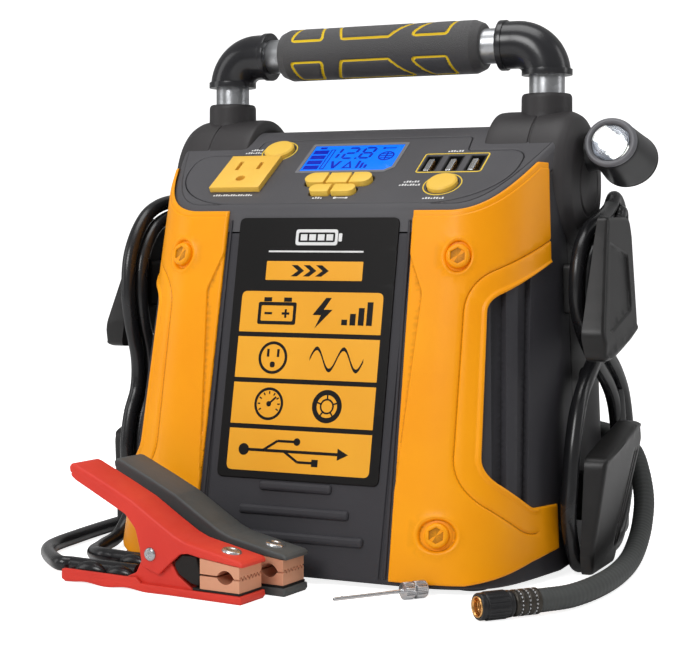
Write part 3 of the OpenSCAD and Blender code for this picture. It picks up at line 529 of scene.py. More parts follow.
def panel_geo(outer, mapf, holes=(), lines=(), height=0.0, edge=0.8, thick=2.0, step=3.0,
              ring=1.6, rings=(0.12, 0.35, 0.8), line_off=(0.0, 0.3, 0.6, 1.1),
              open_back=False, raw=False):
    """Moulded sheet from a 2D outline: triangulated with extra rows of points along the rims and
    the feature lines [(line, closed)], mapped by mapf(u, v, h) and closed at h = -thick.
    height is a number or a function of the points; edge rounds the rims. A raw outline is
    neither resampled nor rounded at its outer rim."""
    outer = np.array(outer, float) if raw else resample(outer, ring)
    loops = [outer[::-1] if area(outer) < 0 else outer]
    for hole in holes:
        R = resample(hole, ring * 0.6)
        loops.append(R if area(R) < 0 else R[::-1])

    def within(P):
        ok = inside(P, loops[0])
        for hole in loops[1:]:
            ok &= ~inside(P, hole)
        return ok

    def rim_distance(P, rims=loops):
        return np.min([dist_poly(P, loop) for loop in rims], axis=0)

    pts, edges = [], []
    for loop in loops:
        b, n = len(pts), len(loop)
        pts += [tuple(p) for p in loop]
        edges += [(b + i, b + (i + 1) % n) for i in range(n)]
    # rows of points along the rims and lines, then a grid between them
    offsets = [r * edge / RING_EDGE for r in rings]
    rows = [offset(loop, d) for loop in loops for d in offsets + [edge * 1.9]]
    for line, closed in lines:
        R = resample(line, ring * 0.8, closed)
        for d in line_off:
            rows += [offset(R, d * s, closed) for s in ((1, -1) if d else (1,))]
    rows = np.vstack(rows)
    rows = rows[within(rows)]
    rows = rows[rim_distance(rows) > min(offsets) * 0.8]
    (u0, v0), (u1, v1) = loops[0].min(0), loops[0].max(0)
    gu, gv = np.meshgrid(np.arange(u0, u1, step), np.arange(v0, v1, step))
    grid = np.stack([gu.ravel(), gv.ravel()], 1)
    grid = grid[within(grid)]
    grid = grid[rim_distance(grid) > edge * 2.2]
    for line, closed in lines:
        grid = grid[dist_poly(grid, line, closed) > max(line_off) + 0.5]
    # thin out near-coincident points
    free = np.vstack([rows, grid])
    _, idx = np.unique(np.round(free / 0.22).astype(int), axis=0, return_index=True)
    pts += [tuple(p) for p in free[np.sort(idx)]]

    vs, _, fs, *_ = delaunay_2d_cdt([Vector(p) for p in pts], edges, [], 0, 1e-5)
    vs = np.array([tuple(v) for v in vs])
    tris = [f for f in fs if len(f) == 3]
    keep = within(np.array([vs[list(f)].mean(0) for f in tris]))
    tris = [f for f, k in zip(tris, keep) if k]
    used = sorted(set(i for f in tris for i in f))
    new_index = {old: i for i, old in enumerate(used)}
    vs = vs[used]
    tris = [tuple(new_index[i] for i in f) for f in tris]

    h = np.asarray(height(vs), float) if callable(height) else np.full(len(vs), float(height))
    q = np.clip(1 - rim_distance(vs, loops[1:] if raw else loops) / edge, 0, 1)
    h = h - edge * (1 - np.sqrt(np.clip(1 - q * q, 0, 1)))
    top = stack(mapf(vs[:, 0], vs[:, 1], h))
    # walls under the edges that belong to one triangle
    directed = dict.fromkeys(e for a, b, c in tris for e in ((a, b), (b, c), (c, a)))
    border = [(a, b) for a, b in directed if (b, a) not in directed]
    border_pts = sorted(set(i for e in border for i in e))
    under = {old: len(top) + i for i, old in enumerate(border_pts)}
    rim = vs[border_pts]
    low = stack(mapf(rim[:, 0], rim[:, 1], np.full(len(rim), -float(thick))))
    faces = list(tris) + [(b, a, under[a], under[b]) for a, b in border]
    V = np.vstack([top, low])
    if not open_back:
        back = {i: len(V) + i for i in range(len(vs))}
        back.update(under)
        V = np.vstack([V, stack(mapf(vs[:, 0], vs[:, 1], np.full(len(vs), -float(thick))))])
        faces += [(back[c], back[b], back[a]) for a, b, c in tris]
    return V, faces


def panel(name, outer, mapf, mat, slot=None, replaces=None, **shape):
    mesh_obj(name, [panel_geo(outer, mapf, **shape)], mat, slot, replaces=replaces, angle=40,
             weld=0.0005)


def decal(name, shapes, mapf, mat, slot=None, h=1.0, thick=0.1, ring=1.2, edge=0.08):
    """thin prints; a shape is an outline or a tuple (outline, holes)"""
    parts = []
    for shape in shapes:
        outer, holes = shape if isinstance(shape, tuple) else (shape, ())
        parts.append(panel_geo(outer, mapf, holes=holes, height=h, edge=edge, thick=thick,
                               ring=ring, step=8, rings=(0.5,)))
    mesh_obj(name, parts, mat, slot)


# ------------------------------------------------------------------ surfaces of the case
TILT = math.radians(33)              # slope of the console
T33, C33, S33 = math.tan(TILT), math.cos(TILT), math.sin(TILT)
CON_Y, CON_Z = -68, 187              # the console's datum line
FRONT_LEAN = math.radians(11.6)      # the front leans back
LEAN, CL, SL = math.tan(FRONT_LEAN), math.cos(FRONT_LEAN), math.sin(FRONT_LEAN)
FRONT_Y = -105.16                    # front face at floor level
BASE_Z, HEAD_Z = 3, 222              # heights between which the case outline is blended
TOP_Z = 232                          # flat top behind the console
INSET = 2.2                          # shells lie this far inside the cover surface
CORNER_U = 74                        # the flank is searched from here rearward


def con(x, v, h=0.0):
    """console frame: x across, v up the slope from its datum line, h above the surface"""
    return (x, CON_Y + v * C33 - h * S33, CON_Z + v * S33 + h * C33)


def slope_v(y):
    return (y - CON_Y) / C33


def front(x, z, h=0.0):
    """front frame: x across, z up, h out from the leaning face"""
    return (x, FRONT_Y + z * LEAN - h * CL, z + h * SL)


def bezier(P, q):
    P = [np.array(p, float) for p in P]
    q = q[:, None]
    return ((1 - q) ** 3 * P[0] + 3 * (1 - q) ** 2 * q * P[1] + 3 * (1 - q) * q * q * P[2]
            + q ** 3 * P[3])


def case_outline(z, inset=0.0):
    """right half of the case outline at height z: front middle to rear middle"""
    t = (z - BASE_Z) / (HEAD_Z - BASE_Z)

    def mix(a, b):
        return a + (b - a) * t
    side_x = 123 - 10.2 * t - inset
    front_y = FRONT_Y + z * LEAN
    rear_y = 66 - inset
    front_corner = [(mix(70, 74), inset - 2.2), (mix(112, 92) - inset, mix(3, 0.8) - 1.4 + inset),
                    (mix(113, 103) - inset, mix(20, 18) + inset), (side_x, mix(70, 46))]
    rear_corner = [(side_x - 1.5, 46), (side_x - 2, 62 - inset), (side_x - 6, rear_y),
                   (side_x - 20, rear_y)]
    face = (np.linspace(0, 1, 30)[:, None] * np.array([front_corner[0][0], 0])
            + np.array([0, front_y + inset - 2.2]))
    bend = bezier(front_corner, np.linspace(0, 1, 60)) + np.array([0, front_y])
    flank = bend[-1] + (np.array(rear_corner[0]) - bend[-1]) * np.linspace(0, 1, 26)[:, None]
    turn = bezier(rear_corner, np.linspace(0, 1, 24))
    rear = np.stack([np.linspace(rear_corner[3][0], 0, 30), np.full(30, rear_y)], 1)
    return np.vstack([face, bend[1:], flank[1:], turn[1:], rear[1:]])


MID_OUTLINE = case_outline(112.0)
ARC = np.concatenate([[0], np.cumsum(np.linalg.norm(np.diff(MID_OUTLINE, axis=0), axis=1))])
U_REAR = float(ARC[-1])
FINE = np.linspace(0, U_REAR, 2500)
END_OUTLINES = {}                    # inset: outlines at BASE_Z and HEAD_Z


def case_point(u, z, h=0.0, inset=0.0):
    """u is arc length round from the front middle at mid height; h is out from the surface"""
    u = np.asarray(u, float)
    z = np.asarray(z, float) * np.ones_like(u)
    sign = np.sign(u) + (u == 0)
    a = np.abs(u)
    if inset not in END_OUTLINES:
        END_OUTLINES[inset] = [case_outline(float(end), inset) for end in (BASE_Z, HEAD_Z)]
    low, high = END_OUTLINES[inset]

    def at(arc, level):
        t = ((level - BASE_Z) / (HEAD_Z - BASE_Z))[:, None]
        pa, pb = (np.stack([np.interp(arc, ARC, R[:, k]) for k in (0, 1)], 1)
                  for R in (low, high))
        p = pa * (1 - t) + pb * t
        return np.stack([p[:, 0], p[:, 1], level], 1)
    e = 1.2                          # step for the surface normal
    du = at(a + e, z) - at(np.maximum(a - e, 0), z)
    dz = at(a, z + 1) - at(a, z - 1)
    n = np.cross(du, dz)
    n /= np.maximum(np.linalg.norm(n, axis=1)[:, None], 1e-9)
    p = at(a, z) + n * (np.asarray(h, float)[..., None] if np.ndim(h) else h)
    p[:, 0] *= sign
    return p


def u_at_y(y, z, inset=0.0):
    """arc parameter where the flank has this y"""
    P = case_point(FINE, np.full(len(FINE), z), 0.0, inset)
    k = np.searchsorted(FINE, CORNER_U)
    return float(np.interp(y, P[k:, 1], FINE[k:]))


def u_at_x(x, z):
    """arc parameter where the cover surface has this x, before its widest place"""
    P = case_point(FINE, np.full(len(FINE), z))
    k = int(np.argmax(P[:, 0]))
    return float(np.interp(x, P[:k, 0], FINE[:k]))


def console_z(u, h, inset=INSET):
    """height where the inset case meets the console plane moved by h"""
    u = np.atleast_1d(np.asarray(u, float))
    z = np.full(len(u), 195.0)
    for _ in range(14):
        z = CON_Z + (case_point(u, z, 0.0, inset)[:, 1] - CON_Y) * T33 + h / C33
    return np.minimum(z, TOP_Z + h)


def shell_map(inset):
    return lambda u, z, h: case_point(u, z, h, inset)


# ------------------------------------------------------------------ case
SEAM_H = -9.3                        # shells stop this far below the console plane
RIBS = [(-76.8, -72.6, 1.4), (-66.6, -59.6, 1.5), (-51.2, 60.0, 0.6)]   # front y, rear y, height
RIB_LEAN, RIB_MID_Z = 0.17, 110      # ribs lean back about this height
BORDER_U = (50.6, 51.6)              # groove beside the middle panel


def front_case():
    seam_z = CON_Z + 63 * T33 - 9.1 / C33
    side = [(u_at_y(-5.4, z, INSET), z) for z in np.linspace(3.2, 216.5, 26) if z < seam_z]
    top_u = np.linspace(side[-1][0], -side[-1][0], 150)
    outer = side + list(zip(top_u, console_z(top_u, SEAM_H))) + [(-u, z) for u, z in side[::-1]]
    lines = []
    for y in (y for rib in RIBS for y in rib[:2] if y <= -8):
        line = [(u_at_y(y + RIB_LEAN * (z - RIB_MID_Z), z, INSET), z)
                for z in np.linspace(28, 172, 24)]
        lines += [(line, False), ([(-u, z) for u, z in line], False)]
    lines += [([(s * u, 6), (s * u, 182)], False) for s in (1, -1) for u in BORDER_U]

    def height(P):
        u, z = np.abs(P[:, 0]), P[:, 1]
        y = case_point(u, z, 0.0, INSET)[:, 1] - RIB_LEAN * (z - RIB_MID_Z)
        h = np.where(y < -78.5, 0.0, -2.2)
        for a, b, k in RIBS:
            h = h + (k + 2.2) * band(y, a, b, 0.7)
        h = np.where(u < 76, 0.0, h) * smooth01((z - 27) / 8) * smooth01((176 - z) / 8)
        return h - 0.6 * band(u, *BORDER_U, 0.4) * (z < 186)
    panel("front_case", outer, shell_map(INSET), "case_dark", replaces="front_shell",
          lines=lines, height=height, edge=1.0, thick=3.0, step=4.0, line_off=(0.0, 0.35, 0.8))


def front_ribs():
    """three level ribs low on the middle panel: half width, z"""
    mesh_obj("front_ribs", [
        panel_geo(rounded(block(0, z, half + 2.4, 2.5), 2.4, 6), front, height=1.9, edge=1.8,
                  thick=0.6, step=3, ring=1.2)
        for half, z in ((18, 46.5), (28.5, 34.4), (37.5, 21.9))], "case_dark")


def panel_beads():
    """tapered beads along both edges of the middle panel"""
    for side, name in ((1, "right"), (-1, "left")):
        bead = panel_geo([(51.8, 6), (53.4, 6), (51.6, 181.5), (50.1, 181.5)],
                         lambda x, z, h: front(x * side, z, h), height=0.9, edge=0.5, thick=0.8,
                         ring=3, step=9)
        mesh_obj("panel_bead_" + name, [bead], "case_dark")


def rear_map(w, z, h):
    """w is arc length from the rear middle"""
    p = case_point(U_REAR - np.abs(w), z, h, INSET)
    p[:, 0] = np.abs(p[:, 0]) * np.sign(w + 1e-9)
    return p


def rear_case():
    side = [(U_REAR - u_at_y(-4.6, z, INSET), z) for z in np.linspace(3.2, 216.8, 26)]
    top_w = np.linspace(side[-1][0], -side[-1][0], 120)
    slope_end = u_at_y(18.2, 231, INSET)
    top = [(w, float(TOP_Z) if U_REAR - abs(w) > slope_end else z)
           for w, z in zip(top_w, console_z(U_REAR - np.abs(top_w), SEAM_H))]
    grille = [rounded(rect(62 + i * 4.2 - 1.2, 36, 62 + i * 4.2 + 1.2, 68), 1.1, 3)
              for i in range(-4, 5)]
    groove = rounded(rect(-84, 22, 84, 206), 9, 6)
    # the flanks get the darker copy of case_dark: painted shade
    panel("rear_case", side + top + [(-w, z) for w, z in side[::-1]], rear_map, "flank_dark",
          slot="case_dark", replaces="rear_shell", holes=grille, lines=[(groove, True)],
          height=lambda P: -0.7 * smooth01(1.2 - dist_poly(P, groove)), edge=1.6, thick=3.0,
          step=4.5)


def case_lids():
    """flat top behind the console, and the floor"""
    u = np.linspace(u_at_y(18.2, TOP_Z, INSET), U_REAR, 60)
    half = case_point(u, np.full(60, float(TOP_Z)), 0.0, INSET + 1.3)[:, :2]
    panel("rear_top", np.vstack([half, half[::-1] * (-1, 1)]), lambda x, y, h: (x, y, TOP_Z + h),
          "console_grey", edge=0.5, thick=2.4, step=6, ring=2)
    u = np.linspace(0, U_REAR, 150)
    half = case_point(u, np.full(150, 3.4), 0.0, INSET + 1.0)[:, :2]
    panel("case_floor", np.vstack([half, (half[::-1] * (-1, 1))[1:-1]]),
          lambda x, y, h: (x, y, 3.6 - h), "flank_dark", slot="case_dark", edge=0.6, thick=2.0,
          step=9, ring=3)


# ------------------------------------------------------------------ console top
BEND_V = 82.6                        # the slope turns level here
TOP_END_Y = 17.6                     # rear end of the top shell


def top_map(x, v, h):
    x, v, h = np.broadcast_arrays(*[np.asarray(c, float) for c in (x, v, h)])
    y0 = np.where(v < BEND_V, CON_Y + v * C33, CON_Y + BEND_V * C33 + v - BEND_V)
    z0 = np.where(v < BEND_V, CON_Z + v * S33, CON_Z + BEND_V * S33)
    a = TILT * (1 - smooth01((v - BEND_V + 5) / 10))
    dip = 0.9 * np.clip(1 - np.abs(v - BEND_V) / 6, 0, 1) ** 2
    return np.stack([x, y0 - (h - dip) * np.sin(a), z0 + (h - dip) * np.cos(a)], 1)


def fascia_outline(gap):
    """outline of the console insert, grown by gap"""
    low, mid, shelf, top = 5.9, 44, 57, 71.8
    arc_x, width, step_x, shelf_r = 54, 96.6, 62, 9        # half widths, shelf corner radius
    half = []
    for a in np.radians(range(0, 91, 6)):
        half.append((arc_x + (width - arc_x) * math.sin(a), mid - (mid - low) * math.cos(a)))
    for a in np.radians(range(0, 91, 15)):
        half.append((width - shelf_r + shelf_r * math.cos(a),
                     shelf - shelf_r + shelf_r * math.sin(a)))
    half += rounded([(step_x + 30, shelf), (step_x + 1.5, shelf), (step_x, top),
                     (step_x - 30, top)], [0, 3, 3, 0], 5)[1:-1]
    R = resample(half + [(-x, v) for x, v in half[::-1]], 1.4)
    return offset(R if area(R) > 0 else R[::-1], -gap)


def console_top():
    """rings round the rim, then the slope with the insert's opening"""
    levels = [(-9.0, INSET), (-2.8, INSET)]                # h, inset
    for a in np.radians((15, 30, 45, 60, 75, 90)):
        levels.append((-2.8 + 2.8 * math.sin(a), INSET + 2.8 * (1 - math.cos(a))))
    rings = []
    for h, inset in levels:
        end = u_at_y(TOP_END_Y, 229, inset)
        u = np.linspace(-end, end, 260)
        P = case_point(u, console_z(u, h, inset), 0.0, inset)
        x = np.linspace(P[-1, 0], -P[-1, 0], 60)[1:-1]
        rings.append(np.vstack([P, np.stack([x, np.full(58, TOP_END_Y),
                                             np.full(58, TOP_Z + h)], 1)]))
    last = rings[-1]
    v = np.where(last[:, 2] < TOP_Z - 0.1, slope_v(last[:, 1]),
                 BEND_V + last[:, 1] - CON_Y - BEND_V * C33)
    slope = panel_geo(np.stack([last[:, 0], v], 1), top_map, holes=[fascia_outline(0.35)],
                      lines=[([(-100, BEND_V), (100, BEND_V)], False)], edge=0.7, thick=2.4,
                      step=4.5, raw=True, line_off=(0.0, 2.0, 4.0), open_back=True)
    rim = np.vstack(rings), ring_faces(len(rings), len(last))
    mesh_obj("console_top", [rim, slope], "console_grey", replaces="top_shell", angle=42,
             weld=0.02)


# ------------------------------------------------------------------ console insert
V_OUTLET, V_PORTS, V_AC, V_JUMP = (slope_v(y) for y in (-39, -30.4, -17.4, -48.4))
X_OUTLET, X_AC, X_JUMP, X_PORTS = -57.5, -48.3, 60.5, 59.3
PORT_XS = [X_PORTS + i * 12.3 for i in (-1, 0, 1)]
LCD = [(-28, 38.15), (21.5, 38.15), (25.5, 42.6), (25.5, 65.6), (-28, 65.6)]
UPPER_ROW, LOWER_ROW = (23.3, 33.1), (14, 21.4)            # v of the two small button rows
# x from, x to, row, left end round, right end round
SMALL_BUTTONS = [(-18.6, -6.6, UPPER_ROW, True, False), (-5.2, 6.9, UPPER_ROW, False, False),
                 (8.3, 19.6, UPPER_ROW, False, True), (-12.1, -0.5, LOWER_ROW, True, False),
                 (1.4, 14, LOWER_ROW, False, True)]


def button_opening(x0, x1, row, left_round, right_round, gap=0.6):
    v0, v1 = row[0] - gap, row[1] + gap
    r = (v1 - v0) / 2 - 0.01
    left, right = (r * 1.5 if end else 1.0 for end in (left_round, right_round))
    return rounded(rect(x0 - gap, v0, x1 + gap, v1), [left, right, right, left], 7)


def console_insert():
    grown = [(x + (0.5 if x > 0 else -0.5), v + (0.5 if v > 50 else -0.5)) for x, v in LCD]
    holes = [rounded(grown, 1.2, 3), rounded(block(X_OUTLET, V_OUTLET, 13.2, 14.2), 1.5, 3)]
    holes += [rounded(block(x, V_PORTS, 4.3, 7.7), 0.8, 3) for x in PORT_XS]
    holes += [circle(X_AC, V_AC, 8.8), circle(X_JUMP, V_JUMP, 8.4)]
    holes += [button_opening(*button) for button in SMALL_BUTTONS]
    panel("console_insert", fascia_outline(0.0), con, "console_grey", replaces="fascia_plate",
          holes=holes, edge=0.6, thick=2.0, step=5, ring=1.4)


# ------------------------------------------------------------------ side covers
# cut-out in the flank (y, z), with its corner radii
CUT = rounded([(20, 160.3), (-24, 160.3), (-70.5, 142.5), (-87.8, 57.0), (-62, 38.6), (20, 37.7)],
              [0, 14, 12, 14, 14, 0], 8)
BOLT_X, BOLT_ZS = 78.5, (28.8, 163.6)


def cover_rear_y(z):
    return float(np.interp(z, [15.5, 60, 205, 232], [-38.5, -37, -25, -20]))


def cover_inner_u(z):
    """edge beside the middle panel"""
    x = float(np.interp(z, [5.4, 20, 183, 232], [55.1, 54.9, 52.6, 52.5]))
    return u_at_x(x, z)


def cover_top():
    start = u_at_y(cover_rear_y(212), 213)
    u = np.linspace(start, cover_inner_u(186.5), 60)
    return list(zip(u, np.minimum(console_z(u, 0.35, 0.0), 211.0 - 0.03 * (u - start))))


def cover_outline(top):
    bottom = [(u_at_x(55.1, 5.4), 5.4)]
    bottom += [(u_at_y(y, z), z) for y, z in ((-101, 5.4), (-85, 9), (-66, 12.5), (-38.7, 15.5))]
    low_rear = [(u_at_y(cover_rear_y(z), z), z) for z in (22, 30, 37.9)]
    cut = [(u_at_y(y, z), z) for y, z in CUT if y < cover_rear_y(z)][::-1]
    high_rear = [(u_at_y(cover_rear_y(z), z), z) for z in np.linspace(160, 207, 6)]
    inner = [(cover_inner_u(z), z) for z in np.linspace(178, 14, 20)]
    return bottom + low_rear + cut + high_rear + top + inner


def side_covers():
    top = cover_top()
    cut_line = [(u_at_y(y, z), z) for y, z in CUT if y < -18]
    cut_row = resample(cut_line, 1.5, False)
    groove = offset(cut_row, -12.5, False)                 # parallel to the cut-out
    step = rounded([(u_at_x(52.9, 165), 165.5), (u_at_x(61.4, 145.6), 145.6),
                    (u_at_x(55.6, 53.6), 53.6), (u_at_x(50.2, 41.9) + 3.4, 40.0)],
                   [0, 9, 9, 0], 6)
    step_u, step_z = zip(*step[::-1])
    bolts = [(u_at_x(BOLT_X, z), z) for z in BOLT_ZS]

    def height(P):
        u, z = P[:, 0], P[:, 1]
        h = 0.9 * smooth01((3.4 - dist_poly(P, cut_line, False)) / 2.2)         # lip
        h = h - 0.75 * np.exp(-(dist_poly(P, groove, False) / 0.55) ** 2)
        # lowered strip by the middle panel
        strip = (u < np.interp(z, step_z, step_u)) & (z > 40) & (z < 166)
        h = h - 0.95 * np.where(strip, smooth01(dist_poly(P, step, False) / 0.7), 0.0)
        for bolt in bolts:                                 # round well with a raised ring
            r = np.hypot(u - bolt[0], z - bolt[1])
            h = h - 1.75 * smooth01((8.0 - r) / 0.7) + 0.4 * np.exp(-((r - 9.1) / 0.8) ** 2)
        h = h - 0.5 * smooth01((3.6 - dist_poly(P, top, False)) / 0.7)          # top chamfer
        return np.maximum(h, -1.85)
    open_lines = [cut_line, groove, step, offset(cut_row, -2.8, False),
                  [(u, z - 3.4) for u, z in top]]
    lines = [(line, False) for line in open_lines]
    lines += [(circle(*bolt, r, 44), True) for bolt in bolts for r in (7.6, 9.1)]
    cover = panel_geo(cover_outline(top), shell_map(0.0), lines=lines, height=height, edge=1.1,
                      thick=2.0, step=3.6, ring=1.5)
    for part, side in ((cover, "right"), (flipped(cover), "left")):
        mesh_obj("cover_" + side, [part], "cover_yellow", replaces="cladding_" + side,
                 weld=0.0005, angle=50)


def bolt_geo(n=72):
    """round bolt head with a hex socket, axis along +Z"""
    angles = [2 * math.pi * i / n for i in range(n)]

    def hex_radius(a):
        return 3.5 / max(0.001, math.cos((a + math.pi / 6) % (math.pi / 3) - math.pi / 6))

    def circle_row(r, t):
        return [(r * math.cos(a), r * math.sin(a), t) for a in angles]

    def hex_row(scale, t):
        radii = [hex_radius(a) * scale for a in angles]
        return [(r * math.cos(a), r * math.sin(a), t) for r, a in zip(radii, angles)]
    head = fillet([(7.4, 0.2), (6.4, 0.3), (6.1, 0.5), (6.0, 2.5), (5.4, 3.3), (4.7, 3.6)], 0.5)
    rows = [circle_row(r, t) for r, t in head]
    rows += [hex_row(scale, t) for scale, t in ((1.08, 3.5), (1.0, 3.2), (0.97, 2.75))]
    rows.append(circle_row(0.02, 2.7))
    return np.array([p for row in rows for p in row]), ring_faces(len(rows), n)


def cover_bolts():
    V, F = bolt_geo()
    parts = []
    for z in BOLT_ZS:
        u = u_at_x(BOLT_X, z)
        c, along, up = (case_point(np.array([a]), np.array([b]))[0]
                        for a, b in ((u, z), (u + 1, z), (u, z + 1)))
        e1, e2 = along - c, up - c
        e1 /= np.linalg.norm(e1)
        out = np.cross(e1, e2)
        out /= np.linalg.norm(out)
        e2 = np.cross(out, e1)
        parts.append((c + out * -1.7 + V[:, :1] * e1 + V[:, 1:2] * e2 + V[:, 2:] * out, F))
    mesh_obj("cover_bolts", parts + [flipped(p) for p in parts], "cover_yellow",
             replaces="cladding_bolts", weld=0.001)


# ------------------------------------------------------------------ label
# top and bottom z of the four bright blocks, and their corner radii and steps
LABEL_ROWS = [(144.6, 123.6), (121.2, 100.2), (97.8, 76.8), (74.4, 53.4)]
LABEL_CORNERS = [([0.3, 0.3, 3.2, 3.2], 5), (0.3, 2), (0.3, 2), ([3.2, 3.2, 0.3, 0.3], 5)]
LABEL_HALF = 40.2
PRINT = dict(h=0.96, thick=-0.6)         # prints on the plate
OVERPRINT = dict(h=1.06, thick=-0.9)     # prints on the bright blocks


def ring_shape(cx, cz, r, w, n=36):
    return circle(cx, cz, r, n), [circle(cx, cz, r - w, n)]


def battery_symbols(z):
    """battery with two posts, a lightning flash and rising bars"""
    return [
        (rounded(rect(-30, z - 6.5, -8, z + 5), 1.2),
         [rounded(rect(-28.2, z - 4.7, -9.8, z + 3.2), 0.8)]),
        rect(-27, z + 5.2, -22.5, z + 7.4), rect(-15.5, z + 5.2, -11, z + 7.4),
        rect(-26.2, z - 1.4, -21.8, z - 0.2), rect(-16.2, z - 1.4, -11.8, z - 0.2),
        rect(-14.6, z - 3.0, -13.4, z + 1.4),
        [(8.5, z + 7.6), (1.5, z - 1.2), (6.2, z - 1.2), (3.2, z - 8), (12.6, z + 1.6),
         (7.6, z + 1.6), (11.6, z + 7.6)],
        *[rect(18 + i * 4.6, z - 6, 21.2 + i * 4.6, z - 3.2 + i * 3.0) for i in range(4)]]


def mains_symbols(z):
    """socket and sine wave"""
    wave = [(2 + i * 1.0, z + 5.5 * math.sin(i / 30 * 4 * math.pi)) for i in range(31)]
    return [ring_shape(-19, z, 8.3, 1.5), rect(-22.6, z + 0.4, -21.2, z + 4.4),
            rect(-16.8, z + 0.4, -15.4, z + 4.4), rounded(rect(-20.4, z - 5, -17.6, z - 2), 1.2),
            [(x, y + 0.95) for x, y in wave] + [(x, y - 0.95) for x, y in wave[::-1]]]


def spoke(cx, cz, a, r0, r1, w):
    return bar(cx + r0 * math.cos(a), cz + r0 * math.sin(a),
               cx + r1 * math.cos(a), cz + r1 * math.sin(a), w)


def dial_symbols(z):
    """gauge dial with a needle, and a wheel"""
    ticks = [spoke(-19, z, math.radians(-30 + 30 * i), 6.4, 4.9, 0.7) for i in range(9)]
    spokes = [spoke(14, z, math.radians(72 * i + 18), 3, 5.8, 0.8) for i in range(5)]
    return [ring_shape(-19, z, 8.3, 1.4), *ticks, bar(-19, z, -15, z + 3.6, 1.0),
            circle(-19, z, 1.4, 16), ring_shape(14, z, 8.3, 2.6), ring_shape(14, z, 3.9, 0.9),
            *spokes]


def branch_symbols(z):
    """arrow with a branch on each side"""
    return [bar(-30, z, 22, z, 1.5), circle(-31, z, 3.0, 24),
            [(22, z + 3), (22, z - 3), (28, z)],
            bar(-20, z, -12, z + 5, 1.3), bar(-12, z + 5, -2, z + 5, 1.3),
            circle(-1, z + 5, 1.9, 20),
            bar(-8, z, 0, z - 5, 1.3), bar(0, z - 5, 8, z - 5, 1.3),
            rect(8, z - 6.8, 11.6, z - 3.2)]


def chevron(x):
    return [(x - 5, 152.4), (x - 1.5, 152.4), (x + 2.5, 155.3), (x - 1.5, 158.2), (x - 5, 158.2),
            (x - 1, 155.3)]


def label():
    panel("label_plate", rounded(rect(-45.5, 49.5, 45.5, 182.7), 3.5, 6), front, "label_black",
          replaces="info_label", height=0.85, edge=0.35, thick=0.0, step=9, ring=2)
    blocks = [rounded(rect(-LABEL_HALF, bottom, LABEL_HALF, top), *corners)
              for (top, bottom), corners in zip(LABEL_ROWS, LABEL_CORNERS)]
    strip = rounded(rect(-27.5, 150.4, 27.5, 160.2), 0.5, 2)
    decal("label_blocks", blocks + [strip], front, "label_yellow", "label_black", **PRINT)
    symbols = []
    drawings = (battery_symbols, mains_symbols, dial_symbols, branch_symbols)
    for draw, (top, bottom) in zip(drawings, LABEL_ROWS):
        symbols += draw((top + bottom) / 2)
    decal("label_symbols", symbols, front, "label_black", ring=1.0, **OVERPRINT)
    header = [bar(-27, 165.2, 27, 165.2, 0.9),
              (rounded(rect(-12, 168.4, 12, 176.6), 1.6),
               [rounded(rect(-10.4, 170, 10.4, 175), 0.9)]),
              rounded(rect(12.4, 170.4, 14.4, 174.6), 0.6)]
    header += [rect(-9.2 + i * 4.9, 170.9, -5.4 + i * 4.9, 174.1) for i in range(4)]
    decal("label_header", header, front, "print_white", "label_black", **PRINT)
    decal("label_strip_marks", [chevron(-8 + i * 7) for i in range(3)], front, "label_black",
          **OVERPRINT)


# ------------------------------------------------------------------ console details
def border_geo(outer, w, h=0.35):
    """flat band of width w inside an outline"""
    R = resample(outer, 1.0)
    R = R if area(R) > 0 else R[::-1]
    return panel_geo(R, con, holes=[offset(R, w)], height=h, edge=0.2, thick=0.4, ring=1.0,
                     step=9, rings=(0.4,))


def digit(segments, x, v, w=6.2, tall=10.6, t=1.5, slant=0.12, gap=0.35):
    """slanted seven-segment digit; segments are lettered a to g"""
    mid = tall / 2

    def lean(points):
        return [(x + px + slant * pv, v + pv) for px, pv in points]

    def flat(pv):
        a, b = gap + t / 2, w - gap - t / 2
        return lean([(gap, pv), (a, pv + t / 2), (b, pv + t / 2), (w - gap, pv),
                     (b, pv - t / 2), (a, pv - t / 2)])

    def upright(px, low, high):
        a, b = low + gap + t / 2, high - gap - t / 2
        return lean([(px, low + gap), (px + t / 2, a), (px + t / 2, b), (px, high - gap),
                     (px - t / 2, b), (px - t / 2, a)])
    shapes = {"a": flat(tall), "g": flat(mid), "d": flat(0),
              "b": upright(w, mid, tall), "c": upright(w, 0, mid),
              "f": upright(0, mid, tall), "e": upright(0, 0, mid)}
    return [shapes[letter] for letter in segments]


